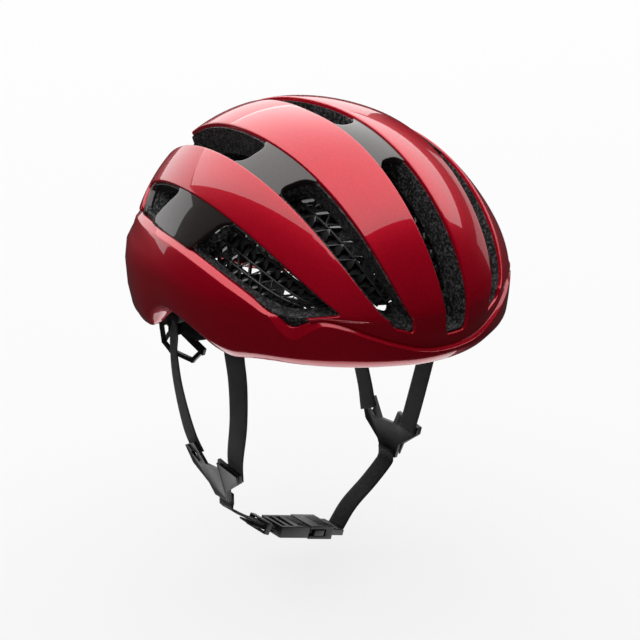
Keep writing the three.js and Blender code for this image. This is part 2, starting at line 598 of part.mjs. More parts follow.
// Cradle: a wing loop on each side, two rails round the nape, a centre plate, and a guide that
// slides on each arm.
const bar = (points, width, thick, steps, wide = up) =>
  ribbon(points, wide, wide, { width, thick }, steps);
const rod = (start, end, width, thick) => {
  const past = end.clone().sub(start).setLength(width * 0.4);
  return bar([start.clone().sub(past), end.clone().add(past)], width, thick, 1, v3(0, 0.45, 1));
};
const WING = [[60, 80.5, -15.5], [58, 50, -26.5], [58, 61.5, -37.3], [57.5, 86.5, -39],
  [56, 96.6, -36.5], [56, 99, -25]];
const WING_BAR = { width: 2.8, thick: 2.2 };
const STRUT = 5; // width of the wing's front edge
const PLATE = { half: 15, front: 112.4, thick: 3, tall: 17 };
const GUIDE = { from: 66, to: 76, wall: 1.4 };
const cradleSides = sides.flatMap(([, side]) => {
  const wing = WING.map(([x, y, z]) => v3(side * x, y, z));
  const closed = [...wing, wing[0]];
  const loop = wing.map((start, i) =>
    rod(start, closed[i + 1], i === 0 ? STRUT : WING_BAR.width, WING_BAR.thick));
  const upperRail = bar([wing[5], v3(side * 42, 106.5, -20), v3(side * 20, 112.5, -15.5),
    v3(0, 113.9, -14)], 5, 2, 7);
  const lowerRail = bar([wing[4], v3(side * 42, 105, -33), v3(side * 20, 112, -31),
    v3(0, 113.9, -30)], 2.4, 2, 7);
  const slot = ARM.slot;
  const guideHalf = ARM.thick / 2 + slot;
  const guideTall = ARM.width / 2 + slot;
  const guide = brick(side * armX - guideHalf - GUIDE.wall, side * armX + guideHalf + GUIDE.wall,
    GUIDE.from, GUIDE.to, armZ - guideTall - GUIDE.wall, armZ + guideTall + GUIDE.wall)
    .subtract(brick(side * armX - guideHalf, side * armX + guideHalf, GUIDE.from - 1, GUIDE.to + 1,
      armZ - guideTall, armZ + guideTall));
  const hanger = bar([v3(side * (armX - guideHalf - 1.2), GUIDE.to - 3, armZ), wing[0]], 5, 2.2, 1);
  return [...loop, upperRail, lowerRail, guide, hanger];
});
const plate = brick(-PLATE.half, PLATE.half, PLATE.front, PLATE.front + PLATE.thick,
  DIAL.height - PLATE.tall, DIAL.height + PLATE.tall);
part("fit_cradle", add([...cradleSides, plate]), "plastic");

// Soft pads on the head side of the cradle.
for (const [sideName, side] of sides) {
  part("cradle_pad_" + sideName, ribbon([
    v3(side * 17.3, 109.3, -23), v3(side * 30.3, 106.3, -25), v3(side * 44.3, 100.3, -28.5),
  ], up, up, { width: 15, thick: 3 }, 5), "pad");
}

// Tension dial: a fixed housing on the plate, and a ribbed knob.
const plateBack = PLATE.front + PLATE.thick;
const round = (radius, y0, y1, count = 28) => solid(
  new THREE.CylinderGeometry(radius, radius, y1 - y0, count).translate(0, (y0 + y1) / 2, DIAL.height),
);
const housingBack = plateBack + GAP + DIAL.stand;
const housing = round(DIAL.radius + 1.5, plateBack + GAP, housingBack)
  .add(round(2.2, housingBack - 0.5, housingBack + DIAL.thick - 2, 12));
part("dial_housing", housing, "plastic");
const KNURLS = 14;
const knurl = (i) => {
  const turn = (i / KNURLS) * 2 * Math.PI;
  const groove = new THREE.CylinderGeometry(1.1, 1.1, DIAL.thick + 2, 8);
  return solid(groove.translate(DIAL.radius * Math.cos(turn), housingBack + DIAL.thick / 2,
    DIAL.height + DIAL.radius * Math.sin(turn)));
};
const knobFront = housingBack + GAP;
const knob = round(DIAL.radius, knobFront, knobFront + DIAL.thick)
  .subtract(add(Array.from({ length: KNURLS }, (_, i) => knurl(i))))
  .subtract(round(2.6, knobFront - 1, knobFront + DIAL.thick - 1.5, 12));
part("dial_knob", knob, "plastic");

// Laces from the housing to the wings.
for (const [sideName, side] of sides) {
  part("lace_" + sideName, ribbon([
    v3(side * (DIAL.radius + 2.4), plateBack + 1.6, DIAL.height),
    v3(side * 38, 110.8, -26),
    v3(side * 55, 102.2, -29.5),
  ], up, up, { width: LACE, thick: LACE }, 6), "webbing");
}

export default helmet;
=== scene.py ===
# %% [markdown]
# A road cycling helmet, built round its design model.
# A helmet is a stack of curved layers: a glossy shell, a foam body, a liner of open cells and soft
# pads, with webbing and a fit cradle hanging below. Every layer follows the same dome, so this
# lesson draws each one flat first and then wraps it over the dome with one rule.
# Lengths are in millimetres while a piece is being shaped and become metres as it is finished.

import math

import bmesh
import bpy
import numpy as np
from mathutils import Matrix, Vector


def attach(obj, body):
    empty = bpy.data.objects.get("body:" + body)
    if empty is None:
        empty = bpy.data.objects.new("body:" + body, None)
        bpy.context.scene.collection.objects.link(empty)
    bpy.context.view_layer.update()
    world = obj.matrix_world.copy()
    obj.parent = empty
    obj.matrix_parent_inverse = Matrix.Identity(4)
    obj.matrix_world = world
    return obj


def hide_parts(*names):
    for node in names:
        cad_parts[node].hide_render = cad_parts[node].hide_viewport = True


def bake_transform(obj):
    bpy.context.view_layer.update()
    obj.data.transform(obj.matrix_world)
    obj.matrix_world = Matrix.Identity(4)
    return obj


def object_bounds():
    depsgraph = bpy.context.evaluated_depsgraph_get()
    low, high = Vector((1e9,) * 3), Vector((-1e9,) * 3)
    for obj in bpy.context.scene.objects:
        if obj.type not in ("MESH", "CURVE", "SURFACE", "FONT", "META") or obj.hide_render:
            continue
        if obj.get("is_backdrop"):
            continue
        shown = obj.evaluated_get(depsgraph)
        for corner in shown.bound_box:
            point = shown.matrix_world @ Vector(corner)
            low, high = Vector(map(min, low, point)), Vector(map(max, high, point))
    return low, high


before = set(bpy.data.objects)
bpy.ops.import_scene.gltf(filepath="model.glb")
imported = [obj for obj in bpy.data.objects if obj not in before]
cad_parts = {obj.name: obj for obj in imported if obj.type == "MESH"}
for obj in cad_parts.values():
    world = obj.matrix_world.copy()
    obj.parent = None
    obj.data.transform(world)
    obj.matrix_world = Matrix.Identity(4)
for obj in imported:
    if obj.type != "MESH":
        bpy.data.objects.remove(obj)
cad_low, cad_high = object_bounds()
scene = bpy.context.scene
MM = 0.001
print("design box", [round(x, 4) for x in (*cad_low, *cad_high)])

# %% [markdown]
# The camera comes first. A long lens from far away keeps near and far ribs at nearly the same
# scale. It looks down from the wearer's right front, and it aims a little low so that the straps
# stay in view.

# %% Camera
AIM = Vector((0, 0, 0.060))
CAMERA_TURN = math.radians(37.577)
CAMERA_RISE = math.radians(20.991)
CAMERA_AWAY = 1.8
AIM_LOWER = math.radians(1.864)
AIM_SIDE = math.radians(0.047)
LENS, SENSOR = 161.7, 36

camera_data = bpy.data.cameras.new("camera")
camera_data.lens = LENS
camera_data.sensor_width = SENSOR
camera = bpy.data.objects.new("camera", camera_data)
scene.collection.objects.link(camera)
scene.camera = camera
back = Vector((
    -math.sin(CAMERA_TURN) * math.cos(CAMERA_RISE),
    -math.cos(CAMERA_TURN) * math.cos(CAMERA_RISE),
    math.sin(CAMERA_RISE),
))
right = Vector((math.cos(CAMERA_TURN), -math.sin(CAMERA_TURN), 0))
above = back.cross(right)
look = -back * math.cos(AIM_LOWER) - above * math.sin(AIM_LOWER) - right * math.sin(AIM_SIDE)
camera.location = AIM + back * CAMERA_AWAY
camera.rotation_mode = "QUATERNION"
camera.rotation_quaternion = look.to_track_quat("-Z", "Y")
print("camera at", [round(x, 3) for x in camera.location])

# %% [markdown]
# The studio is a pale floor under the helmet, one wide softbox overhead and a bright wall behind.
# Gloss paint mostly shows its lights back: the softbox's near edge gives the crisp line
# across the ribs, and the dim front of the room keeps the lower shell deep red. Two weak lights
# help them. A bounce under the helmet lifts its lip, and a side fill, which no reflection shows,
# lifts the colour of the near side.
#
# The camera should see a white room, but the paint should mirror a dark one. Light Path tells the
# two apart: each of the room and the floor mixes a bright shader, for the camera, with a dim one
# for every other ray.

# %% Studio helpers
def grey(level):
    return (level, level, level, 1)


def node_tree(owner):
    owner.use_nodes = True
    tree = owner.node_tree
    tree.nodes.clear()
    return tree


def plain_shader(tree, kind, colour, strength=None):
    node = tree.nodes.new(kind)
    node.inputs["Color"].default_value = colour
    if strength is not None:
        node.inputs["Strength"].default_value = strength
    return node


def split_by_camera(tree, seen, unseen, end):
    """Shows one shader to the camera and the other to every other ray."""
    path = tree.nodes.new("ShaderNodeLightPath")
    either = tree.nodes.new("ShaderNodeMixShader")
    tree.links.new(path.outputs["Is Camera Ray"], either.inputs["Fac"])
    tree.links.new(unseen.outputs[0], either.inputs[1])
    tree.links.new(seen.outputs[0], either.inputs[2])
    tree.links.new(either.outputs[0], tree.nodes.new(end).inputs["Surface"])


def area_light(name, place, aim, size, power):
    data = bpy.data.lights.new(name, "AREA")
    data.shape = "RECTANGLE"
    data.size, data.size_y = size
    data.energy = power
    light = bpy.data.objects.new(name, data)
    scene.collection.objects.link(light)
    light.location = place
    light.rotation_mode = "QUATERNION"
    light.rotation_quaternion = (Vector(aim) - Vector(place)).to_track_quat("-Z", "Y")
    return light


# %% Room and floor
CLEAR_WHITE = grey(0.93)
ROOM_GLOW = 1.07
ROOM_GREY = 0.015
FLOOR_BELOW = 0.012
FLOOR_HALF = 9
FLOOR_PAPER, FLOOR_DIM = 0.8, 0.02
FLOOR_GLOW_SHARE = 0.86  # the rest of the floor is plain paper, which takes the shadow

scene.view_settings.view_transform = "Standard"
world = bpy.data.worlds.new("room")
scene.world = world
tree = node_tree(world)
split_by_camera(tree, plain_shader(tree, "ShaderNodeBackground", CLEAR_WHITE, ROOM_GLOW),
                plain_shader(tree, "ShaderNodeBackground", grey(ROOM_GREY)),
                "ShaderNodeOutputWorld")

floor_level = cad_low.z - FLOOR_BELOW
floor_mesh = bmesh.new()
bmesh.ops.create_grid(floor_mesh, x_segments=1, y_segments=1, size=FLOOR_HALF)
bmesh.ops.translate(floor_mesh, vec=(0, 0, floor_level), verts=floor_mesh.verts)
floor_data = bpy.data.meshes.new("floor")
floor_mesh.to_mesh(floor_data)
floor_mesh.free()
floor = bpy.data.objects.new("floor", floor_data)
scene.collection.objects.link(floor)
floor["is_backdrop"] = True
paper = bpy.data.materials.new("floor_paper")
tree = node_tree(paper)
shade = tree.nodes.new("ShaderNodeMixShader")
shade.inputs["Fac"].default_value = FLOOR_GLOW_SHARE
matt = plain_shader(tree, "ShaderNodeBsdfDiffuse", grey(FLOOR_PAPER))
glow = plain_shader(tree, "ShaderNodeEmission", CLEAR_WHITE, 1.0)
tree.links.new(matt.outputs[0], shade.inputs[1])
tree.links.new(glow.outputs[0], shade.inputs[2])
split_by_camera(tree, shade, plain_shader(tree, "ShaderNodeBsdfDiffuse", grey(FLOOR_DIM)),
                "ShaderNodeOutputMaterial")
floor_data.materials.append(paper)

# %% Lights
SOFTBOX_HEIGHT = 1.6
SOFTBOX_NEAR = (-0.90 * SOFTBOX_HEIGHT, -0.60 * SOFTBOX_HEIGHT)
SOFTBOX_SIZE = (5.2, 6.0)
BOUNCE_ABOVE_FLOOR = 0.002
softbox_middle = [near + size / 2 for near, size in zip(SOFTBOX_NEAR, SOFTBOX_SIZE)]
# Each light: where it stands, where it aims, its size in metres and its power in watts.
LIGHTS = {
    "softbox": ((*softbox_middle, SOFTBOX_HEIGHT + 0.1), (*softbox_middle, 0), SOFTBOX_SIZE, 225),
    "back_wall": ((0.9, 4.9, 0.75), (0, 0, 0.05), (7.0, 1.9), 60),
    "right_wall": ((3.6, 0.6, 0.45), (0, 0, 0.03), (2.6, 0.9), 6),
    "floor_bounce": ((0, 0, floor_level + BOUNCE_ABOVE_FLOOR), (0, 0, 1), (0.30, 0.34), 0.5),
    "side_fill": ((-2.0, -1.8, 0.9), (0, 0, 0.02), (1.6, 1.6), 12),
}
lights = {name: area_light(name, *values) for name, values in LIGHTS.items()}
lights["floor_bounce"].visible_camera = False
lights["side_fill"].visible_glossy = False
print("lights", {name: values[-1] for name, values in LIGHTS.items()})

# %% [markdown]
# The dome is the one shape that every layer shares. Its rule takes a place on a square (s runs
# from the wearer's right to left, t from front to rear, both -1 to 1) and a depth below the
# surface, and gives a point. Numpy works it out for a whole mesh at once.

# %% The dome
OUTSIDE = {"front": 132.3, "rear": 146.7, "half": 106.1, "crown": 137.4}
WALL = {"front": 36, "rear": 38, "half": 24, "crown": 36}
INSIDE = {side: OUTSIDE[side] - WALL[side] for side in OUTSIDE}
EQUATOR, LIP, TILT = 42.9, 32.3, 4.3
RIM_TURN = math.radians(104)
INNER_DROP, TAIL_LIFT = 0.25, 2.6
# How far the edge hangs below a plain brim: (degrees from the front, millimetres).
HANG = [(0, 1.5), (12, 1.1), (24, 0), (55, 0), (63, 0.5), (68, 1.8), (73, 3.4), (79, 1.8),
        (85, -2.4), (91, -6.6), (97, -9.2), (102, -8.6), (108, -0.5), (114, 12.5), (121, 17.5),
        (128, 21.5), (137, 28), (147, 30.5), (160, 26), (174, 14), (180, 14)]
HANG_FROM = 0.8  # it starts at this reach
FLARE = 4.3  # the rear corners bulge this much, between these reaches and turns
FLARE_REACH, FLARE_TURN = (0.76, 0.915, 1.02), (100, 132, 165)
TAIL_WAVE = [(-1, 0), (-0.1, 0), (0.42, 1), (0.6, -1.1), (0.85, 0), (1, 0)]
TAIL_SIDES = (0.46, 0.62)
# Powers of the sine and cosine of the slope: plain ones would make an ellipsoid.
SPREAD_POWER, CROWN_POWER, CROWN_POWER_SIDE = 0.915, 1.354, 0.109


def through(pairs, x):
    """A smooth line through (x, y) pairs."""
    xs, ys = np.array(pairs, float).T
    wide = np.concatenate([[xs[1] - xs[0]], xs[2:] - xs[:-2], [xs[-1] - xs[-2]]])
    tall = np.concatenate([[ys[1] - ys[0]], ys[2:] - ys[:-2], [ys[-1] - ys[-2]]])
    slope = tall / wide
    i = np.clip(np.searchsorted(xs, x) - 1, 0, len(xs) - 2)
    w = xs[i + 1] - xs[i]
    u = np.clip((x - xs[i]) / w, 0, 1)
    bend = u * (1 - u) * w * ((1 - u) * slope[i] - u * slope[i + 1])
    return ys[i] + (ys[i + 1] - ys[i]) * u * u * (3 - 2 * u) + bend


def smoothstep(x, low, high):
    u = np.clip((x - low) / (high - low), 0, 1)
    return u * u * (3 - 2 * u)


def lerp(a, b, share):
    return a + (b - a) * share


def from_front(turn):
    """Degrees from straight ahead, the same on either side."""
    return np.abs(np.degrees(np.arctan2(np.cos(turn), -np.sin(turn))))


def hump(x, low, top, high):
    """Rises from 0 at low to 1 at top and falls back to 0 at high."""
    return smoothstep(x, low, top) - smoothstep(x, top, high)


def flare(reach, turn):
    """How far the rear corners stand out."""
    return FLARE * hump(reach, *FLARE_REACH) * hump(from_front(turn), *FLARE_TURN)


def tail_rise(s, t):
    """How far the rib tails kick up, and how far the foam behind them dips."""
    return TAIL_LIFT * through(TAIL_WAVE, t) * (1 - smoothstep(np.abs(s), *TAIL_SIDES))


def on_dome(reach, turn, size, drop_share, lift):
    """A place on the outer or inner face. The inner one takes only a share of the hanging edge."""
    side, along = np.cos(turn), np.sin(turn)
    slope = reach * RIM_TURN
    spread = np.sin(slope) ** SPREAD_POWER
    fall = np.cos(slope)
    power = CROWN_POWER + CROWN_POWER_SIDE * side * side
    rise = (size["crown"] - EQUATOR) * np.maximum(fall, 0) ** power
    below = LIP * np.minimum(fall, 0) / abs(math.cos(RIM_TURN))
    drop = through(HANG, from_front(turn))
    share = np.where(drop < 0, 1, drop_share)
    hang = np.maximum((reach - HANG_FROM) / (1 - HANG_FROM), 0) ** 2 * drop * share
    length = np.where(along < 0, size["front"], size["rear"])
    bulge = flare(reach, turn) if drop_share == 1 else 0
    up = EQUATOR + rise + below - TILT * along * spread - hang + lift
    return np.stack([(size["half"] * spread + bulge) * side,
                     (length * spread + bulge) * along, up], axis=-1)


def polar(reach, turn, depth):
    """A place in the wall by reach (0 crown, 1 brim), turn round it and depth from the outside."""
    outer = on_dome(reach, turn, OUTSIDE, 1, tail_rise(reach * np.cos(turn), reach * np.sin(turn)))
    inwards = on_dome(reach, turn, INSIDE, INNER_DROP, 0) - outer
    thick = np.linalg.norm(inwards, axis=-1)
    return outer + inwards * (depth / thick)[..., None], thick


def to_polar(s, t):
    """Reach and turn of a place on the square, whose sides all lie on the brim."""
    across, along = s * np.sqrt(1 - t * t / 2), t * np.sqrt(1 - s * s / 2)
    return np.hypot(across, along), np.arctan2(along, across)


def wall_at(s, t):
    """How thick the whole wall is, from the shell to the head."""
    return polar(*to_polar(s, t), np.zeros_like(s))[1]


# %% [markdown]
# The pattern of ribs and vents is drawn on the same square. Each channel between two ribs has
# straight edges there, and a bridge crosses it. A signed distance in millimetres, negative
# inside an opening, lets one drawing serve the shell, the smoked skin and the foam, each grown
# or shrunk by its own margin, with rounded corners for free.

# %% Ribs and vents as distances
FLAT = 170.0  # millimetres that one unit of the square covers
CORNER = 7.0
SKIN_OVER_BAND = 0.002  # the side channel's skin runs this far under the band's edge
VENT_END = 0.64
CHANNEL_PAST_VENT = 0.02
SIDE_END = 0.44  # the side vents stop short, inside the foam


def centre_edge(t):
    return 0.0389 - 0.0637 * t


def inner_edge(t):
    return 0.2116 - 0.1007 * t


def outer_edge(t):
    return 0.3348 - 0.1254 * t


def side_edge(t):
    return 0.4793 - 0.1227 * t


def band_line(t):
    return 0.655 - 0.215 * t + SKIN_OVER_BAND


def far_centre_edge(t):
    return -centre_edge(t)


# The lower shell's top edge: (degrees from the front, reach).
BAND_TOP = [(0, 0.955), (10, 0.95), (20.5, 0.928), (30, 0.9), (37, 0.877), (43, 0.868),
            (48, 0.877), (53, 0.892), (58, 0.858), (65.5, 0.768), (75, 0.706), (86, 0.662),
            (99, 0.638), (113, 0.645), (130, 0.68), (150, 0.72), (180, 0.74)]


def band_top(turn):
    return through(BAND_TOP, from_front(turn))


# near and far are the channel's edges by distance from the middle line; nose, bridge front and
# bridge rear give t at its far edge and at its near edge.
CHANNELS = {
    "center": {"near": far_centre_edge, "far": centre_edge, "end": VENT_END,
               "nose": (-0.93, -0.93), "front": (-0.255, -0.255), "rear": (-0.11, -0.11)},
    "upper": {"near": inner_edge, "far": outer_edge, "end": VENT_END,
              "nose": (-0.862, -0.905), "front": (-0.145, -0.2), "rear": (0, -0.04)},
    "side": {"near": side_edge, "far": band_line, "end": SIDE_END,
             "nose": (-0.64, -0.705), "front": (0.055, -0.07), "rear": (0.315, 0.155)},
}


def soft_max(values, blend):
    """The largest value, with the corner between two of them rounded over blend millimetres."""
    result = values[0]
    for value in values[1:]:
        touch = np.maximum(blend - np.abs(result - value), 0) / blend
        result = np.maximum(result, value) + touch * touch * blend / 4
    return result


def patch_distance(s, t, channel, start, stop, blend=CORNER, widen=0.0):
    """Distance to a patch of a channel between two lines across it, negative inside."""
    out = np.abs(s) if channel is not CHANNELS["center"] else s
    near, far = channel["near"](t), channel["far"](t)
    share = (out - near) / (far - near)
    begin, end = lerp(start[1], start[0], share), lerp(stop[1], stop[0], share)
    return soft_max([(near - out) * FLAT, (out - (far + widen)) * FLAT,
                     (begin - t) * FLAT, (t - end) * FLAT], blend)


def whole_channel(s, t, name, widen):
    channel = CHANNELS[name]
    return patch_distance(s, t, channel, channel["nose"],
                          (channel["end"] + CHANNEL_PAST_VENT,) * 2, widen=widen)


def channel_distance(s, t, widen_side=0.0):
    """Distance to all the channels, bridges included."""
    return np.minimum.reduce([
        whole_channel(s, t, name, widen_side if name == "side" else 0.0) for name in CHANNELS])


def vent_distance(s, t, widen_side=0.0):
    """Distance to the open vents in front of and behind the bridges."""
    found = []
    for name, channel in CHANNELS.items():
        widen = widen_side if name == "side" else 0.0
        found += [patch_distance(s, t, channel, channel["nose"], channel["front"], widen=widen),
                  patch_distance(s, t, channel, channel["rear"], (channel["end"],) * 2,
                                 widen=widen)]
    return np.minimum.reduce(found)


def band_distance(s, t):
    """How far above the lower shell's top edge a place lies."""
    reach, turn = to_polar(s, t)
    return (band_top(turn) - reach) * FLAT


# %% [markdown]
# A layer starts as a plain grid. Faces outside the drawing are deleted, and the ragged edge is
# pulled onto the line where the distance is zero. Extruding that edge in small steps rolls it
# over, which is what gives moulded plastic its thin bright outline.

# %% Flat patterns
SETTLE_ROUNDS = 3
RIM_SMOOTHING, INNER_SMOOTHING = 0.35, 0.5
LONGEST_PULL = 0.01


def places(bm, verts=None):
    chosen = bm.verts if verts is None else verts
    return np.array([v.co for v in chosen], float).reshape(-1, 3)


def new_verts(geometry):
    """The vertices among what an operator returns."""
    return [g for g in geometry if isinstance(g, bmesh.types.BMVert)]


def put(verts, points):
    for vert, point in zip(verts, points):
        vert.co = point


def uphill(rule, points, step=0.002):
    """The direction and rate in which a distance grows."""
    s, t = points[:, 0], points[:, 1]
    slope = np.stack([rule(s + step, t) - rule(s - step, t),
                      rule(s, t + step) - rule(s, t - step)], 1)
    return slope / (2 * step)


def pull_to_edge(points, rule):
    """Moves places downhill until the distance is zero."""
    for _ in range(SETTLE_ROUNDS):
        slope = uphill(rule, points)
        value = rule(points[:, 0], points[:, 1])
        share = value / np.maximum((slope ** 2).sum(1), 1)
        points[:, :2] -= slope * np.clip(share, -LONGEST_PULL, LONGEST_PULL)[:, None]
    return points


def pattern(low, high, spacing, keep):
    """A flat grid from corner low to corner high, trimmed to where keep is positive."""
    bm = bmesh.new()
    counts = [max(2, round((b - a) * FLAT / spacing)) for a, b in zip(low, high)]
    bmesh.ops.create_grid(bm, x_segments=counts[0], y_segments=counts[1], size=0.5)
    size = [b - a for a, b in zip(low, high)]
    middle = [(a + b) / 2 for a, b in zip(low, high)]
    bmesh.ops.scale(bm, vec=(*size, 1), verts=bm.verts)
    bmesh.ops.translate(bm, vec=(*middle, 0), verts=bm.verts)
    centres = np.array([face.calc_center_median() for face in bm.faces])
    outside = keep(centres[:, 0], centres[:, 1]) <= 0
    trimmed = [face for face, out in zip(bm.faces[:], outside) if out]
    bmesh.ops.delete(bm, geom=trimmed, context="FACES")
    for _ in range(SETTLE_ROUNDS):
        rim = [e for e in bm.edges if e.is_boundary]
        verts = list({v for e in rim for v in e.verts})
        bmesh.ops.smooth_vert(bm, verts=verts, factor=RIM_SMOOTHING,
                              use_axis_x=True, use_axis_y=True)
        put(verts, pull_to_edge(places(bm, verts), keep))
        inner = list({v for vert in verts for e in vert.link_edges for v in e.verts} - set(verts))
        bmesh.ops.smooth_vert(bm, verts=inner, factor=INNER_SMOOTHING,
                              use_axis_x=True, use_axis_y=True)
    return bm


def roll_edge(bm, keep, steps):
    """Extrudes the open edge by (outwards, down) steps in millimetres."""
    rim = [e for e in bm.edges if e.is_boundary]
    for outwards, down in steps:
        grown = bmesh.ops.extrude_edge_only(bm, edges=rim)["geom"]
        verts = new_verts(grown)
        rim = [g for g in grown if isinstance(g, bmesh.types.BMEdge) and g.is_boundary]
        points = places(bm, verts)
        slope = uphill(keep, points)
        slope /= np.maximum(np.linalg.norm(slope, axis=1), 1)[:, None]
        points[:, :2] -= slope * outwards / FLAT
        points[:, 2] -= down
        put(verts, points)


def wrap(bm, sink=0.0):
    """Bends a flat pattern over the dome. Its height is taken from the surface, in millimetres."""
    flat = places(bm)
    depth = sink - flat[:, 2]
    put(bm.verts, polar(*to_polar(flat[:, 0], flat[:, 1]), depth)[0] * MM)


# %% Finishing a piece
def finish_piece(name, bm, body, material, nodes, sharp=None, wall=None):
    """Turns a bmesh in metres into a named object that rides on a body."""
    mesh = bpy.data.meshes.new(name)
    bm.to_mesh(mesh)
    bm.free()
    mesh.polygons.foreach_set("use_smooth", [True] * len(mesh.polygons))
    if sharp is not None:
        mesh.set_sharp_from_angle(angle=math.radians(sharp))
    mesh.materials.append(material)
    piece = bpy.data.objects.new(name, mesh)
    scene.collection.objects.link(piece)
    if wall is not None:
        solid = piece.modifiers.new("wall", "SOLIDIFY")
        solid.thickness = wall * MM
        solid.offset = -1
    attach(piece, body)
    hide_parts(*nodes)
    print(name, len(mesh.polygons), "faces")
    return piece


# %% [markdown]
# Materials. Effects that several finishes share are node groups: fine grain on moulded nylon and
# on gloss skins, and a weave that follows each strap's own UV map.

# %% Shared effects
EDGE_FROM, EDGE_SHARP = 0.82, 12.0  # where the webbing starts to darken towards its edges: share of the half width, softness


def new_group(name, inputs, outputs):
    group = bpy.data.node_groups.new(name, "ShaderNodeTree")
    for label, kind, value in inputs:
        socket = group.interface.new_socket(label, in_out="INPUT", socket_type=kind)
        if value is not None:
            socket.default_value = value
    for label, kind in outputs:
        group.interface.new_socket(label, in_out="OUTPUT", socket_type=kind)
    return group, group.nodes.new("NodeGroupInput"), group.nodes.new("NodeGroupOutput")


def math_node(tree, operation, *values):
    node = tree.nodes.new("ShaderNodeMath")
    node.operation = operation
    for socket, value in zip(node.inputs, values):
        if isinstance(value, (int, float)):
            socket.default_value = value
        else:
            tree.links.new(value, socket)
    return node.outputs[0]


def mix_colour(tree, share, first, second):
    node = tree.nodes.new("ShaderNodeMix")
    node.data_type = "RGBA"
    for key, value in (("Factor", share), ("A", first), ("B", second)):
        socket = next(s for s in node.inputs
                      if s.name == key and (key == "Factor" or s.type == "RGBA"))
        if isinstance(value, (tuple, float, int)):
            socket.default_value = value
        else:
            tree.links.new(value, socket)
    return next(s for s in node.outputs if s.type == "RGBA")


def grain_group():
    """Fine grain: two noises, as a height and as a mottle from 0 to 1."""
    group, ins, outs = new_group("grain", [
        ("Vector", "NodeSocketVector", None), ("Fine", "NodeSocketFloat", 2500.0),
        ("Broad", "NodeSocketFloat", 60.0)],
        [("Height", "NodeSocketFloat"), ("Mottle", "NodeSocketFloat")])
    noises = []
    for scale in ("Fine", "Broad"):
        noise = group.nodes.new("ShaderNodeTexNoise")
        noise.inputs["Detail"].default_value = 3
        group.links.new(ins.outputs["Vector"], noise.inputs["Vector"])
        group.links.new(ins.outputs[scale], noise.inputs["Scale"])
        noises.append(noise.outputs["Fac"])
    group.links.new(noises[0], outs.inputs["Height"])
    group.links.new(noises[1], outs.inputs["Mottle"])
    return group


def weave_group():
    """Woven webbing from a UV map in millimetres: height, and a mask that rises towards the edges.
    """
    group, ins, outs = new_group("weave", [
        ("UV", "NodeSocketVector", None), ("Pitch", "NodeSocketFloat", 0.9),
        ("Half Width", "NodeSocketFloat", 7.75)],
        [("Height", "NodeSocketFloat"), ("Edge", "NodeSocketFloat")])
    parts = group.nodes.new("ShaderNodeSeparateXYZ")
    group.links.new(ins.outputs["UV"], parts.inputs[0])
    turns = math_node(group, "DIVIDE", 2 * math.pi, ins.outputs["Pitch"])
    across = math_node(group, "MULTIPLY", parts.outputs["X"], turns)
    along = math_node(group, "MULTIPLY", parts.outputs["Y"], turns)
    half = math_node(group, "MULTIPLY", across, 0.5)
    slanted = math_node(group, "ADD", along, half)
    warp = math_node(group, "ABSOLUTE", math_node(group, "SINE", half))
    weft = math_node(group, "MULTIPLY_ADD", math_node(group, "SINE", slanted), 0.5, 0.5)
    group.links.new(math_node(group, "MULTIPLY", warp, weft), outs.inputs["Height"])
    out = math_node(group, "ABSOLUTE", parts.outputs["X"])
    share = math_node(group, "DIVIDE", out, ins.outputs["Half Width"])
    past = math_node(group, "SUBTRACT", share, EDGE_FROM)
    edge = math_node(group, "SMOOTH_MIN", 1.0, math_node(group, "MULTIPLY", past, EDGE_SHARP), 0.0)
    group.links.new(edge, outs.inputs["Edge"])
    return group


grain = grain_group()
weave = weave_group()


def new_material(name, **values):
    """A Principled material with plain values on the shader's own sockets."""
    material = bpy.data.materials.new(name)
    tree = node_tree(material)
    shader = tree.nodes.new("ShaderNodeBsdfPrincipled")
    ends = tree.nodes.new("ShaderNodeOutputMaterial")
    tree.links.new(shader.outputs[0], ends.inputs["Surface"])
    for label, value in values.items():
        shader.inputs[label.replace("_", " ")].default_value = value
    return material, tree, shader


def object_place(tree):
    return tree.nodes.new("ShaderNodeTexCoord").outputs["Object"]


def use_group(tree, group, vector, **values):
    node = tree.nodes.new("ShaderNodeGroup")
    node.node_tree = group
    tree.links.new(vector, node.inputs[0])
    for label, value in values.items():
        node.inputs[label.replace("_", " ")].default_value = value
    return node


def voronoi(tree, spot, scale):
    node = tree.nodes.new("ShaderNodeTexVoronoi")
    node.inputs["Scale"].default_value = scale
    tree.links.new(spot, node.inputs["Vector"])
    return node


def one_channel(tree, colour):
    split = tree.nodes.new("ShaderNodeSeparateColor")
    tree.links.new(colour, split.inputs[0])
    return split.outputs[0]


def bump_from(tree, shader, height, distance, strength):
    bump = tree.nodes.new("ShaderNodeBump")
    bump.inputs["Strength"].default_value = strength
    bump.inputs["Distance"].default_value = distance
    tree.links.new(height, bump.inputs["Height"])
    tree.links.new(bump.outputs[0], shader.inputs["Normal"])


# %% [markdown]
# The skins are a clear film over tinted plastic, moulded onto the foam: red on the ribs and the
# band, smoke on the bridges. A flat colour would look like enamel. Small Voronoi cells stand for
# the flake, a metallic base gives it depth, and the coat is the lacquer that mirrors the lights.

# %% Gloss skins
FLAKES, FLAKE_SHARE = 2600, 0.7  # flakes to the metre, and how much they sway the colour
FLAKE_METAL = 0.35


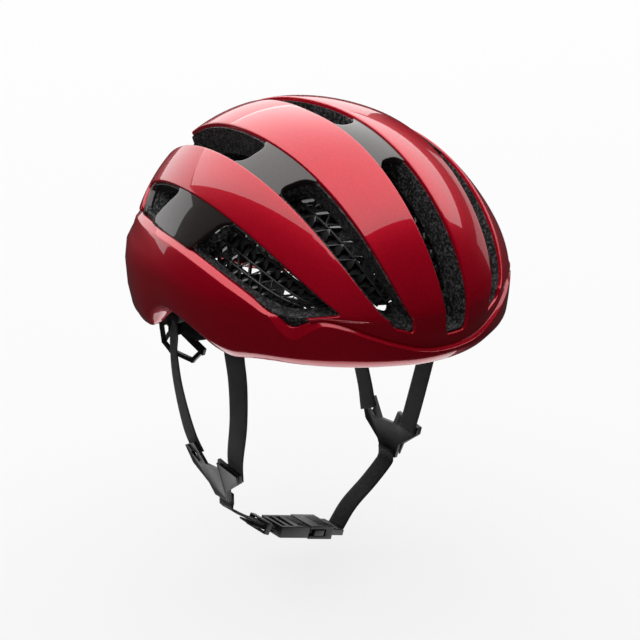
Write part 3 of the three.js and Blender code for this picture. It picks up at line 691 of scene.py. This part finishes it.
def gloss_paint(name, deep, bright, roughness):
    """Candy paint: a metallic flake under clear lacquer."""
    material, tree, shader = new_material(name, Metallic=FLAKE_METAL, Roughness=roughness,
                                          Coat_Weight=1.0, Coat_Roughness=0.02, Coat_IOR=1.5,
                                          Specular_IOR_Level=0.1)
    spot = object_place(tree)
    flakes = voronoi(tree, spot, FLAKES)
    fine = use_group(tree, grain, spot, Fine=900.0, Broad=18.0)
    sparkle = math_node(tree, "MULTIPLY", one_channel(tree, flakes.outputs["Color"]), FLAKE_SHARE)
    mottle = math_node(tree, "MULTIPLY", fine.outputs["Mottle"], 1 - FLAKE_SHARE)
    share = math_node(tree, "ADD", sparkle, mottle)
    tree.links.new(mix_colour(tree, share, (*deep, 1), (*bright, 1)), shader.inputs["Base Color"])
    return material


candy_red = gloss_paint("candy_red", (0.36, 0.0006, 0.010), (0.60, 0.0015, 0.022), 0.32)
smoked = gloss_paint("smoked_skin", (0.020, 0.015, 0.014), (0.045, 0.036, 0.034), 0.30)

# %% [markdown]
# The rest is matt and nearly black, so texture tells the finishes apart: beads and pale flecks in
# the foam, gloss on the thin cell walls, grain on the nylon, threads in the webbing and knitted
# loops on the pads. Patterns on the object's own coordinates need no unwrapping. Only ribbons
# have a UV map, because a weave must follow its strap.

# %% Foam, cells, nylon, webbing and pads
BEADS, FLECKS = 420, 850  # to the metre
FLECK_FROM, FLECK_GAIN = 0.45, 1.8


def foam_finish():
    """Moulded foam: packed beads in dark grey, some of them paler."""
    material, tree, shader = new_material("foam_beads", Roughness=0.62, Specular_IOR_Level=0.35)
    spot = object_place(tree)
    beads = voronoi(tree, spot, BEADS)
    flecks = voronoi(tree, spot, FLECKS)
    fine = use_group(tree, grain, spot, Fine=1500.0, Broad=500.0)
    pale = math_node(tree, "SUBTRACT", one_channel(tree, flecks.outputs["Color"]), FLECK_FROM)
    speck = math_node(tree, "MAXIMUM", math_node(tree, "MULTIPLY", pale, FLECK_GAIN), 0.0)
    shade = math_node(tree, "MULTIPLY", speck, fine.outputs["Mottle"])
    colour = mix_colour(tree, shade, (0.012, 0.012, 0.0125, 1), (0.24, 0.244, 0.255, 1))
    tree.links.new(colour, shader.inputs["Base Color"])
    height = math_node(tree, "ADD", beads.outputs["Distance"],
                       math_node(tree, "MULTIPLY", fine.outputs["Height"], 0.3))
    bump_from(tree, shader, height, 0.0006, 0.7)
    return material


MOTTLE_GAIN, MOTTLE_SHARE = 1.9, 0.5
GLOSS_SWAY = 0.16


def moulded(name, colour, roughness, fine, depth, specular):
    """Moulded plastic with spark-eroded grain and slightly uneven gloss."""
    material, tree, shader = new_material(name, Specular_IOR_Level=specular)
    marks = use_group(tree, grain, object_place(tree), Fine=fine, Broad=90.0)
    paler = tuple(min(1, c * MOTTLE_GAIN) for c in colour)
    share = math_node(tree, "MULTIPLY", marks.outputs["Mottle"], MOTTLE_SHARE)
    tree.links.new(mix_colour(tree, share, (*colour, 1), (*paler, 1)), shader.inputs["Base Color"])
    rough = math_node(tree, "MULTIPLY_ADD", marks.outputs["Mottle"], GLOSS_SWAY,
                      roughness - GLOSS_SWAY / 2)
    tree.links.new(rough, shader.inputs["Roughness"])
    bump_from(tree, shader, marks.outputs["Height"], depth, 0.5)
    return material


def woven(name, half_width):
    """Webbing or cord: painted shade between its threads, and darker towards its edges."""
    material, tree, shader = new_material(name, Specular_IOR_Level=0.25, Sheen_Weight=0.12,
                                          Sheen_Roughness=0.5)
    uv = tree.nodes.new("ShaderNodeUVMap").outputs[0]
    cloth = use_group(tree, weave, uv, Pitch=0.95, Half_Width=half_width)
    worn = use_group(tree, grain, uv, Fine=3.0, Broad=0.12)
    # Painted shade: the weave's low places between the threads are coloured darker, mixed with a
    # random mottle of wear and darkened towards the edges.
    light = math_node(tree, "MULTIPLY", cloth.outputs["Height"],
                      math_node(tree, "MULTIPLY_ADD", worn.outputs["Mottle"], 0.8, 0.4))
    edge = math_node(tree, "MAXIMUM", cloth.outputs["Edge"], 0.0)
    dark = math_node(tree, "MULTIPLY", edge, 0.6)
    thread_shade_and_wear = math_node(tree, "MULTIPLY", light, math_node(tree, "SUBTRACT", 1.0, dark))
    colour = mix_colour(tree, thread_shade_and_wear, (0.003, 0.003, 0.0034, 1), (0.015, 0.015, 0.0162, 1))
    tree.links.new(colour, shader.inputs["Base Color"])
    tree.links.new(math_node(tree, "MULTIPLY_ADD", light, -0.15, 0.82), shader.inputs["Roughness"])
    bump_from(tree, shader, cloth.outputs["Height"], 0.00025, 0.8)
    return material


PAD_LOOPS = 1100


def pad_finish():
    """Knitted pad cloth: small loops in rows."""
    material, tree, shader = new_material("pad_cloth", Roughness=0.95, Specular_IOR_Level=0.15,
                                          Sheen_Weight=0.3, Sheen_Roughness=0.6)
    loops = voronoi(tree, object_place(tree), PAD_LOOPS).outputs["Distance"]
    # Painted shade: each knitted loop is coloured darker towards its middle, where the bump sinks
    # it.
    colour = mix_colour(tree, loops, (0.006, 0.006, 0.0065, 1), (0.03, 0.03, 0.032, 1))
    tree.links.new(colour, shader.inputs["Base Color"])
    bump_from(tree, shader, loops, 0.0004, 0.8)
    return material


foam_beads = foam_finish()
cell_gloss = moulded("cell_gloss", (0.03, 0.03, 0.032), 0.2, 300.0, 0.00005, specular=0.8)
nylon = moulded("black_nylon", (0.0045, 0.0045, 0.0048), 0.40, 2600.0, 0.00006, specular=0.35)
pad_cloth = pad_finish()
webbing = woven("black_webbing", 7.75)
lace_cord = woven("lace_cord", 2.0)

# %% [markdown]
# The upper shell is the red skin of the ribs. Its drawing keeps what lies outside the channels,
# above the lower shell and in front of the rib tails. The rolled edge wraps a few millimetres
# into each vent, as the real in-moulded skin does.

# %% Upper shell
SHELL_STEP = 1.5
FRONT_SINK = 1.7  # the lower shell stands proud of the front cap by this much
SIDE_WIDEN = 0.16  # the red skin stops short of the strip of foam beside the side vents
SINK_OVER = 9  # it sinks over this many millimetres above the band, between these t
SINK_ALONG = (0.35, 0.6)
BAND_GAP = 0.6
CORNER_BLEND = 3.0
# (outwards, down) steps in millimetres: round the edge, then straight into the vent.
EDGE_ROLL = [(0.35, 0.05), (0.35, 0.22), (0.22, 0.36), (0.08, 0.4), (0.1, 1.4), (0.15, 2.2)]


TAIL_END, TAIL_SLANT = 0.36, 0.28
SHELL_CORNERS = (-0.72, -0.98), (0.72, 0.64)


def tail_distance(s, t):
    """How far in front of the rib tails' slanted ends a place lies."""
    return (TAIL_END + TAIL_SLANT * np.abs(s) - t) * FLAT


def upper_keep(s, t):
    return -soft_max([-channel_distance(s, t, SIDE_WIDEN), BAND_GAP - band_distance(s, t),
                      -tail_distance(s, t)], CORNER_BLEND)


shell = pattern(*SHELL_CORNERS, SHELL_STEP, upper_keep)
flat = places(shell)
near_band = 1 - smoothstep(band_distance(flat[:, 0], flat[:, 1]), 0, SINK_OVER)
flat[:, 2] -= FRONT_SINK * near_band * smoothstep(-flat[:, 1], *SINK_ALONG)
put(shell.verts, flat)
roll_edge(shell, upper_keep, EDGE_ROLL)
wrap(shell)
finish_piece("ribbed_shell", shell, "helmet", candy_red, ["upper_shell"], wall=0.9)

# %% [markdown]
# The lower shell is a ring: one profile carried round the brim. Spin turns a few vertices into a
# full ring, and the dome rule then bends it. Its top edge has a wide chamfer that catches the
# softbox, and its bottom edge rolls under the foam.

# %% Lower shell
LEDGE, BRIM_ROLL, LIP_DEPTH = 2.6, 0.97, 10
RING_STEPS = 360
CHAMFERED = 0.15  # the station at the foot of the chamfer
CHAMFER_WIDTHS = (0.010, 0.028)  # its width in reach, at the front and along the sides
CHAMFER_TURNS = (43, 52)  # it widens between these turns
RING_HUB = 10.0
# (station, depth) pairs: 0 is the top edge, 1 the start of the brim's roll and 2 the brim.
LOWER_PROFILE = [
    (0, LEDGE + 3.4), (0, LEDGE + 0.7), (0.004, LEDGE + 0.25), (0.012, LEDGE),
    (0.06, LEDGE * 0.66), (0.11, LEDGE * 0.32), (0.14, LEDGE * 0.12), (0.152, 0.12),
    (0.165, 0.02), (0.2, 0), (0.3, 0), (0.45, 0), (0.6, 0), (0.75, 0), (0.9, 0), (1, 0),
    (1.12, 0.12), (1.3, 0.55), (1.6, 2.05), (1.88, 3.5), (1.96, 4.1), (2, 4.8), (2, 6.0),
    (2, 7.8), (1.97, 9.2), (1.86, LIP_DEPTH),
]


def ring(profile):
    """Spins a profile into a full ring and bends it round the dome."""
    bm = bmesh.new()
    verts = [bm.verts.new((RING_HUB + station, 0, -depth)) for station, depth in profile]
    edges = [bm.edges.new(pair) for pair in zip(verts, verts[1:])]
    bmesh.ops.spin(bm, geom=verts + edges, axis=(0, 0, 1), cent=(0, 0, 0),
                   angle=2 * math.pi, steps=RING_STEPS, use_merge=True)
    flat = places(bm)
    turn = np.arctan2(flat[:, 1], flat[:, 0])
    station = np.hypot(flat[:, 0], flat[:, 1]) - RING_HUB
    top = band_top(turn)
    under_chamfer = top + lerp(*CHAMFER_WIDTHS, smoothstep(from_front(turn), *CHAMFER_TURNS))
    reach = np.where(station < 1,
                     lerp(under_chamfer, BRIM_ROLL, (station - CHAMFERED) / (1 - CHAMFERED)),
                     lerp(BRIM_ROLL, 1, station - 1))
    reach = np.where(station < CHAMFERED, lerp(top, under_chamfer, station / CHAMFERED), reach)
    put(bm.verts, polar(reach, turn, -flat[:, 2])[0] * MM)
    bmesh.ops.recalc_face_normals(bm, faces=bm.faces)
    return bm


lower = ring(LOWER_PROFILE)
finish_piece("lower_band", lower, "helmet", candy_red, ["lower_shell"], wall=1.0)

# %% [markdown]
# Each channel has a smoked skin of its own, a little below the ribs: a bridge across it and a
# narrow ledge along its edges. It is the same drawing again, cut by the vents shrunk a little.

# %% Smoked bridges
SMOKE_DEPTH = 1.3
SMOKE_LEDGE = 1.5
SMOKE_STEP = 1.3
SMOKE_BAND_GAP, SMOKE_RIB_GAP = 0.3, 0.15
SMOKE_ROLL = [(0.3, 0.05), (0.3, 0.3), (0.1, 0.5), (0.1, 2.0), (0.2, 1.6)]
SMOKE_ENDS = (-0.96, 0.66)
SMOKE_SIDES = {"center": (-0.12, 0.12), "upper": (0.12, 0.48), "side": (0.38, 0.86)}


def smoke_keep(name):
    widen = SIDE_WIDEN if name == "side" else 0.0

    def keep(s, t):
        outside_channel = whole_channel(s, t, name, widen) + SMOKE_RIB_GAP
        opening = vent_distance(s, t, widen) + SMOKE_LEDGE
        return -soft_max([outside_channel, -opening, SMOKE_BAND_GAP - band_distance(s, t)],
                         CORNER_BLEND)

    return keep


for name, tag in (("center", ""), ("upper", "_right"), ("upper", "_left"),
                  ("side", "_right"), ("side", "_left")):
    keep = smoke_keep(name)
    low, high = SMOKE_SIDES[name]
    if tag == "_right":
        low, high = -high, -low
    skin = pattern((low, SMOKE_ENDS[0]), (high, SMOKE_ENDS[1]), SMOKE_STEP, keep)
    roll_edge(skin, keep, SMOKE_ROLL)
    wrap(skin, SMOKE_DEPTH)
    finish_piece("smoked_skin_" + name + tag, skin, "helmet", smoked,
                 ["bridge_" + name + tag], wall=0.8)

# %% [markdown]
# The foam body fills the wall between the skins and the liner. One face-region extrude turns its
# trimmed sheet into a closed body with straight vent walls.

# %% Foam body
FOAM_STEP = 2.6
FOAM_TOP = 2.6  # depth of its outer face
FOAM_SHARE, LINER_SHARE, LINER_EDGE = 0.58, 0.93, 0.84
FOAM_EDGE = 0.985  # in reach, and also in share of the wall where no liner lies under it
VENT_MARGIN = 0.45
LINER_STEP = (-0.005, 0.02)  # it steps down to the head across the liner's edge
UNDER_BAND = (-1.5, 1.0)  # millimetres over which it drops under the lower shell
UNDER_GAP = 0.6
TAIL_BACK, TAIL_SLOPE, TAIL_FLANK, TAIL_STOP = 4.4, (-1.0, 2.0), (0.45, 0.52), 0.72


def foam_keep(s, t):
    reach, _ = to_polar(s, t)
    return np.minimum(vent_distance(s, t) + SMOKE_LEDGE + VENT_MARGIN, (FOAM_EDGE - reach) * FLAT)


foam = pattern((-1, -1), (1, 1), FOAM_STEP, foam_keep)
flat_top = set(foam.verts)
bottom = new_verts(bmesh.ops.extrude_face_region(foam, geom=foam.faces[:])["geom"])
bmesh.ops.reverse_faces(foam, faces=[f for f in foam.faces if all(v in flat_top for v in f.verts)])
points = places(foam, bottom)
s, t = points[:, 0], points[:, 1]
edge = np.maximum(np.abs(s), np.abs(t))
share = lerp(FOAM_SHARE, FOAM_EDGE, smoothstep(edge - LINER_EDGE, *LINER_STEP))
points[:, 2] = -wall_at(s, t) * share
put(bottom, points)
top = [v for v in foam.verts if v in flat_top]
points = places(foam, top)
s, t = points[:, 0], points[:, 1]
under_band = smoothstep(-band_distance(s, t), *UNDER_BAND)
flank = 1 - smoothstep(np.abs(s), *TAIL_FLANK)
behind = smoothstep(-tail_distance(s, t), *TAIL_SLOPE) * flank * (t < TAIL_STOP)
points[:, 2] = -(FOAM_TOP + (LEDGE + UNDER_GAP) * under_band) - TAIL_BACK * behind
put(top, points)
wrap(foam)
bmesh.ops.recalc_face_normals(foam, faces=foam.faces)
finish_piece("foam_body", foam, "helmet", foam_beads, ["foam_liner"], sharp=40)

# %% [markdown]
# The liner is a sheet of open cells: straight walls along the head with folded walls between
# them, so that daylight shows as rows of small triangles through the side vents. Each wall is a
# strip of grid; Solidify gives all of them their thickness.

# %% Cellular liner
CELL_ROW = 0.062
CELL_FOLD = 0.042
CELL_WALL = 1.4
CELL_TOP = 0.79  # share of the wall where the cells start
CELL_REACH = 0.03  # their inner ends lie this much further back
CELL_LEAN = 0.016  # each fold leans this much to the front or to the rear
FAN = 0.33  # the rows spread towards the front
ROWS_EACH_SIDE = 15


def foam_face(s, t):
    return -wall_at(s, t) * CELL_TOP


def head_face(s, t):
    return -wall_at(s, t) * LINER_SHARE


def strip(bm, points_top, points_bottom):
    """A wall through two rows of flat places."""
    made = bmesh.ops.create_grid(bm, x_segments=len(points_top) - 1, y_segments=1,
                                 size=1)["verts"]
    made.sort(key=lambda v: (v.co.y, v.co.x))
    for vert, point in zip(made, [*points_bottom, *points_top]):
        vert.co = point


cells = bmesh.new()
rows = np.arange(-ROWS_EACH_SIDE, ROWS_EACH_SIDE + 1) * CELL_ROW
folds = np.arange(-LINER_EDGE, LINER_EDGE + 1e-6, CELL_FOLD)
for number, row in enumerate(rows):
    for folded in (False, True):
        if folded and number == len(rows) - 1:
            continue
        crosses = np.arange(len(folds)) % 2 == number % 2
        sway = np.where(crosses, CELL_ROW, 0.0) if folded else 0.0
        layers = []
        for face, lean, back_by in ((foam_face, CELL_LEAN, 0.0),
                                    (head_face, -CELL_LEAN, CELL_REACH)):
            slide = lean * (1 if number % 2 else -1) if folded else 0.0
            t = np.clip(folds + slide + back_by, -LINER_EDGE, LINER_EDGE)
            s = np.clip((row + sway) * (1 - FAN * t), -LINER_EDGE, LINER_EDGE)
            layers.append(np.stack([s, t, face(s, t)], 1))
        strip(cells, layers[0], layers[1])
bmesh.ops.dissolve_degenerate(cells, dist=0.0005, edges=cells.edges)
wrap(cells)
finish_piece("cell_walls", cells, "helmet", cell_gloss, ["cellular_liner"],
             sharp=25, wall=CELL_WALL)

# %% [markdown]
# Comfort pads are thin pillows of knitted cloth. Each is a rounded patch, puffed in the middle.

# %% Comfort pads
PAD_STEP, PAD_THICK = 2.0, 4.0
PAD_CORNER, PUFF_OVER = 14.0, 5.0
PAD_SINK, PAD_BACK = 1.6, 0.8  # the seam's depth past the liner, and the bulge on its far side
# Each pad: the middle and the half size across, then along.
PAD_PATCHES = {
    "brow_pad": (0, 0.62, -0.74, 0.08), "crown_pad": (0, 0.07, -0.04, 0.38),
    "side_pad_right": (-0.38, 0.06, -0.05, 0.4), "side_pad_left": (0.38, 0.06, -0.05, 0.4),
}


def pad_keep(s0, half_s, t0, half_t):
    def keep(s, t):
        return -soft_max([(np.abs(s - s0) - half_s) * FLAT, (np.abs(t - t0) - half_t) * FLAT],
                         PAD_CORNER)

    return keep


for name, (s0, half_s, t0, half_t) in PAD_PATCHES.items():
    keep = pad_keep(s0, half_s, t0, half_t)
    pad = pattern((s0 - half_s, t0 - half_t), (s0 + half_s, t0 + half_t), PAD_STEP, keep)
    bottom = set(new_verts(bmesh.ops.extrude_face_region(pad, geom=pad.faces[:])["geom"]))
    flat = places(pad)
    s, t = flat[:, 0], flat[:, 1]
    puff = np.sqrt(np.clip(keep(s, t) / PUFF_OVER, 0, 1))
    seam = wall_at(s, t) * LINER_SHARE + PAD_SINK
    is_bottom = np.array([v in bottom for v in pad.verts])
    flat[:, 2] = -(seam + np.where(is_bottom, PAD_THICK - 1.0, -PAD_BACK) * puff)
    put(pad.verts, flat)
    wrap(pad)
    bmesh.ops.remove_doubles(pad, verts=pad.verts, dist=1e-6)
    bmesh.ops.recalc_face_normals(pad, faces=pad.faces)
    piece = finish_piece(name + "_cloth", pad, "helmet", pad_cloth, [name])

# %% [markdown]
# Webbing is a flat woven ribbon. A grid rolled into a flattened tube gives it thickness and
# round selvedges, and its UV map is in millimetres so that the weave keeps its true scale.

# %% Ribbons
PATH_STEPS = 40
END_ROUND = 0.9  # the power of the sine that shapes a ribbon's broad faces


def smooth_path(points, count):
    """Evenly spaced places and headings along a centripetal curve through points."""
    p = np.array(points, float)
    p = np.concatenate([[2 * p[0] - p[1]], p, [2 * p[-1] - p[-2]]])
    found = []
    for i in range(1, len(p) - 2):
        chords = np.linalg.norm(np.diff(p[i - 1:i + 3], axis=0), axis=1)
        knots = np.concatenate([[0], np.cumsum(chords ** 0.5)])
        x = np.linspace(knots[1], knots[2], PATH_STEPS)[:, None]
        a = [((knots[k + 1] - x) * p[i - 1 + k] + (x - knots[k]) * p[i + k])
             / (knots[k + 1] - knots[k]) for k in range(3)]
        b = [((knots[k + 2] - x) * a[k] + (x - knots[k]) * a[k + 1]) / (knots[k + 2] - knots[k])
             for k in range(2)]
        found.append(((knots[2] - x) * b[0] + (x - knots[1]) * b[1]) / (knots[2] - knots[1]))
    line = np.concatenate(found)
    gone = np.concatenate([[0], np.cumsum(np.linalg.norm(np.diff(line, axis=0), axis=1))])
    even = np.linspace(0, gone[-1], count)
    line = np.stack([np.interp(even, gone, line[:, k]) for k in range(3)], 1)
    heading = np.gradient(line, axis=0)
    return line, heading / np.linalg.norm(heading, axis=1)[:, None], gone[-1]


def ribbon(bm, points, wide_from, wide_to, width, thick,
           step=2.0, around=16, square=0.35):
    """A flattened tube along points, its broad side turning from one direction to another."""
    length = sum(math.dist(a, b) for a, b in zip(points, points[1:]))
    count = max(3, round(length / step))
    line, heading, length = smooth_path(points, count + 1)
    share = np.linspace(0, 1, count + 1)[:, None]
    wide = lerp(np.array(wide_from, float), np.array(wide_to, float), share)
    wide -= heading * (wide * heading).sum(1)[:, None]
    wide /= np.linalg.norm(wide, axis=1)[:, None]
    thin = np.cross(wide, heading)
    made = bmesh.ops.create_grid(bm, x_segments=around, y_segments=count, size=0.5)["verts"]
    uv = bm.loops.layers.uv.verify()
    where = {}
    for vert in made:
        turn = (vert.co.x + 0.5) * 2 * math.pi
        i = round((vert.co.y + 0.5) * count)
        cos, sin = math.cos(turn), math.sin(turn)
        x = math.copysign(abs(cos) ** square, cos) * width / 2
        z = math.copysign(abs(sin) ** END_ROUND, sin) * thick / 2
        where[vert] = (x, i * length / count)
        vert.co = line[i] + wide[i] * x + thin[i] * z
    faces = {face for vert in made for face in vert.link_faces}
    for face in faces:
        for loop in face.loops:
            loop[uv].uv = where[loop.vert]
    bmesh.ops.remove_doubles(bm, verts=made, dist=1e-5)
    open_ends = [e for e in bm.edges if e.is_boundary]
    bmesh.ops.holes_fill(bm, edges=open_ends, sides=0)


def to_metres(bm):
    bmesh.ops.recalc_face_normals(bm, faces=bm.faces)
    bmesh.ops.scale(bm, vec=(MM, MM, MM), verts=bm.verts)


# %% [markdown]
# Four straps leave the foam and meet in pairs at the dividers beside the ears. Webbing this short
# hangs almost straight, so each is a route through a few places that a curve joins, and not a
# cloth simulation. The route also tells exactly where each end is held.

# %% Strap routes
WEB = {"width": 15.5, "thick": 1.3}
GAP = 0.3
SIDES = (("right", -1), ("left", 1))
LEFT_DROP = 8  # the left divider and its straps hang this much lower
# Where each row leaves the foam: place along, depth in the wall and drop below it.
ROWS = {"front": (-28, 16.2, 0), "rear": (66, 21, 3.5)}
FOAM_REACH = 0.9912
DIVIDER_THICK = 2.4
BEHIND_DIVIDER = DIVIDER_THICK + 2 * GAP + WEB["thick"] / 2 + 0.2


def divider_x(z):
    """How far out the dividers stand at a height."""
    return 75 - 0.18 * (-82 - z)


def behind_divider(side, z):
    return side * (divider_x(z) - BEHIND_DIVIDER)


def strap_top(side, row):
    along, depth, stand = ROWS[row]
    share = along / (OUTSIDE["front"] if along < 0 else OUTSIDE["rear"])
    turn = math.atan2(share, side * math.sqrt(1 - share * share))
    place = polar(np.array([FOAM_REACH]), np.array([turn]), np.array([depth]))[0][0]
    return place - np.array([0, 0, stand + 4 * GAP])


def broad(degrees, side):
    """A level direction, turned a little from straight ahead."""
    turn = math.radians(degrees)
    return (-side * math.sin(turn), math.cos(turn), 0)


def strap_points(side, row):
    """A strap's route, from its anchor to behind its divider."""
    low = LEFT_DROP if side > 0 else 0
    x, y, z = strap_top(side, row)
    if row == "front":
        return [(x, y, z), (x - side * 1.5, y + 1, z - 10), (side * 79, -17, -20),
                (side * 74.5, -11, -50 - low * 0.5),
                (behind_divider(side, -80), -3, -80 - low),
                (behind_divider(side, -93), -0.5, -93 - low)]
    slack = 0 if side < 0 else 1
    return [(x, y, z), (x - side * 0.5, y + 0.5, z - 8), (side * 73.5, 60 + 12 * slack, -22),
            (side * 74, 56 + 7 * slack, -45 - low * 0.5),
            (behind_divider(side, -78), 46, -78 - low),
            (behind_divider(side, -91), 40, -91 - low)]


# %% Front and rear straps
# How far each strap's top end is twisted, in degrees.
TOP_TURN = {("front", -1): -20, ("rear", -1): 24, ("front", 1): 0, ("rear", 1): 0}
for tag, side in SIDES:
    for row in ROWS:
        node = "strap_" + row + "_" + tag
        strap = bmesh.new()
        ribbon(strap, strap_points(side, row), broad(TOP_TURN[row, side], side),
               broad(0, side), **WEB)
        to_metres(strap)
        finish_piece(node + "_web", strap, "helmet", webbing, [node])

# %% [markdown]
# Under the dividers the straps run on to the buckle. Its clip slides out with the loose end. The
# strap that holds the clip is taken off the helmet's body and left standing where it is.

# %% Chin straps
BUCKLE_TURN = math.radians(17.7)
BUCKLE_MIDDLE = Vector((-11, 8, -150))
MOUTH, SOCKET_LENGTH, CLIP_LENGTH, LOOP = -2, 20, 24, 10
CLIP_START = MOUTH - GAP - CLIP_LENGTH
SOCKET_END = MOUTH + SOCKET_LENGTH
CLIP_SIDE, SOCKET_SIDE, TAIL_SIDE = 1.7, 0.4, -1.7  # heights in the buckle where straps enter
CLIP_OFF, SOCKET_OFF, TAIL_OFF = 1.5, 0.9, 1.4  # and how far each stays off it
DIVIDER_FLOOR = -115
CHIN_START = 15.5


def in_buckle(x, y=0.0, z=0.0):
    """A place given along, across and above the tilted buckle."""
    turned = Matrix.Rotation(BUCKLE_TURN, 3, "Y") @ Vector((x, y, z))
    return tuple(BUCKLE_MIDDLE + turned)


def under_divider(side, low):
    """The strap comes out from behind the divider's plate, on the head side."""
    behind = behind_divider(side, DIVIDER_FLOOR)
    return [(behind, CHIN_START, DIVIDER_FLOOR - low + 5),
            (behind, CHIN_START, DIVIDER_FLOOR - low - 2)]


# Each strap: its route and how many times thicker than plain webbing it is.
CHIN = {
    "chin_strap_right": ([*under_divider(-1, 0), (-65.8, 14.8, -121), (-57.5, 12, -128),
                          (-47, 9.5, -135.2), in_buckle(CLIP_START - CLIP_OFF, 0, CLIP_SIDE)],
                         1.0),
    "chin_strap_left": ([*under_divider(1, LEFT_DROP), (62.5, 14.8, -127.4), (49.5, 13, -136),
                         (29.5, 10.5, -147.5),
                         in_buckle(SOCKET_END + LOOP + GAP + SOCKET_OFF, 0, SOCKET_SIDE)], 1.0),
    "strap_tail": ([in_buckle(CLIP_START - TAIL_OFF, 0, TAIL_SIDE), (-46, 9, -138.4),
                    (-54.5, 10, -133.3)], 1.2),
}
for node, (points, thicker) in CHIN.items():
    strap = bmesh.new()
    ribbon(strap, points, (0, 1, 0), (0, 1, 0), WEB["width"], WEB["thick"] * thicker)
    to_metres(strap)
    body = "clip" if node == "strap_tail" else "helmet"
    piece = finish_piece(node + "_web", strap, body, webbing, [node])
    if node == "chin_strap_right":  # it is taken off its body and left standing where it is
        piece.parent = None
        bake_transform(piece)

# %% [markdown]
# Moulded fittings keep the exact shape of the design model. A copy of each is merged and cleaned
# of its triangles, and a small bevel on its hard edges gives the light something to catch.

# %% Cleaning and bevelling
MERGE_WITHIN = 2e-6
FLAT_WITHIN, HARD_FROM = math.radians(1.5), math.radians(28)


def bevel_edges(bm, edges, width, segments, **more):
    bmesh.ops.bevel(bm, geom=edges, offset=width, offset_type="OFFSET", affect="EDGES",
                    segments=segments, profile=0.5, material=-1, **more)


def refined(node, bevel, segments=2, rim=None):
    """A bevelled copy of a design node, in metres, with a raised rim if one is asked for."""
    bm = bmesh.new()
    bm.from_mesh(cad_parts[node].data)
    bmesh.ops.remove_doubles(bm, verts=bm.verts, dist=MERGE_WITHIN)
    bmesh.ops.dissolve_limit(bm, angle_limit=FLAT_WITHIN, verts=bm.verts, edges=bm.edges)
    bmesh.ops.recalc_face_normals(bm, faces=bm.faces)
    if rim is not None:
        wide, deep = rim
        for way in (1, -1):
            side_faces = [f for f in bm.faces if f.normal.x * way > 0.9]
            bmesh.ops.inset_region(bm, faces=side_faces, thickness=wide * MM, depth=-deep * MM,
                                   use_even_offset=True, use_boundary=True)
    hard = [e for e in bm.edges
            if len(e.link_faces) == 2 and e.calc_face_angle() > HARD_FROM]
    bevel_edges(bm, hard, bevel * MM, segments, clamp_overlap=True)
    return bm


# %% Moulded fittings
FITTINGS = {
    "helmet": ["anchor_front_right", "anchor_front_left", "anchor_rear_right", "anchor_rear_left",
               "temple_anchor_right", "temple_anchor_left", "divider_right", "divider_left",
               "buckle_socket"],
    "fit_arms": ["fit_arm_right", "fit_arm_left"],
    "cradle": ["dial_housing"],
    "dial": ["dial_knob"],
    "flap_right": ["divider_flap_right"],
    "flap_left": ["divider_flap_left"],
    "clip": ["buckle_clip", "strap_keeper"],
    "prong_front": ["buckle_prong_front"],
    "prong_rear": ["buckle_prong_rear"],
}
BAR_WIDTH, BAR_HEIGHT, BAR_BEVEL = 0.9, 0.8, 0.25


def grip_bars(bm, start, count, pitch, half_length, height):
    """Raised bars across the buckle, on both of its broad faces."""
    for i in range(count):
        for way in (1, -1):
            bar = bmesh.ops.create_cube(bm, size=1)["verts"]
            bmesh.ops.scale(bm, vec=(BAR_WIDTH, 2 * half_length, BAR_HEIGHT), verts=bar)
            bmesh.ops.translate(bm, vec=(start + i * pitch, 0, way * height), verts=bar)
            bevel_edges(bm, list({e for v in bar for e in v.link_edges}), BAR_BEVEL, 2)
            # Only the new bar is still in millimetres, so only its corners lie so far out.
            for vert in [v for v in bm.verts if v.co.length > 1]:
                vert.co = Vector(in_buckle(*vert.co)) * MM


# Each buckle half's bars: first bar, how many, pitch, half length and height from the middle.
GRIPS = {"buckle_socket": (8, 5, 1.9, 7.5, 4.5), "buckle_clip": (-8.5, 3, 1.9, 8.0, 3.9)}
RIMS = {"divider": (0.9, 0.4), "divider_flap": (1.3, 0.45)}  # raised rims: width and height
PLAIN_BEVEL, RIM_BEVEL = 0.35, 0.2
for body, nodes in FITTINGS.items():
    for node in nodes:
        rim = RIMS.get(node.rsplit("_", 1)[0])
        bm = refined(node, RIM_BEVEL if rim else PLAIN_BEVEL, rim=rim)
        if node in GRIPS:
            grip_bars(bm, *GRIPS[node])
        finish_piece(node + "_moulded", bm, body, nylon, [node], sharp=35)

# %% [markdown]
# At the nape a cradle carries two small pads, and a lace on each side runs to the dial. The pads
# and laces are ribbons too, one thick and soft and the other as deep as it is wide. One route
# serves both sides.

# %% Fit cradle, laces and their pads
CRADLE_BEVEL = 0.3
UPRIGHT = (0, 0, 1)
# Each kind: a route on the left half, the size and the mesh's fineness.
CRADLE_PAD = ([(17.3, 109.3, -23), (30.3, 106.3, -25), (44.3, 100.3, -28.5)],
              {"width": 15, "thick": 3, "step": 1.5, "around": 24, "square": 0.6})
LACE = ([(14.9, 117.3, -22), (38, 110.8, -26), (55, 102.2, -29.5)],
        {"width": 1.3, "thick": 1.3, "step": 1.0, "around": 10, "square": 1.0})


def on_cradle(side, route, sizes):
    bm = bmesh.new()
    ribbon(bm, [(side * x, y, z) for x, y, z in route], UPRIGHT, UPRIGHT, **sizes)
    to_metres(bm)
    return bm


finish_piece("fit_cradle_moulded", refined("fit_cradle", CRADLE_BEVEL, 1), "cradle",
             nylon, ["fit_cradle"], sharp=35)
for tag, side in SIDES:
    piece = finish_piece("cradle_pad_" + tag + "_cloth", on_cradle(side, *CRADLE_PAD), "cradle",
                         pad_cloth, ["cradle_pad_" + tag])
    finish_piece("lace_" + tag + "_cord", on_cradle(side, *LACE), "cradle",
                 lace_cord, ["lace_" + tag])

# %% Finish
low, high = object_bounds()
print("visual box", [round(x, 4) for x in (*low, *high)])
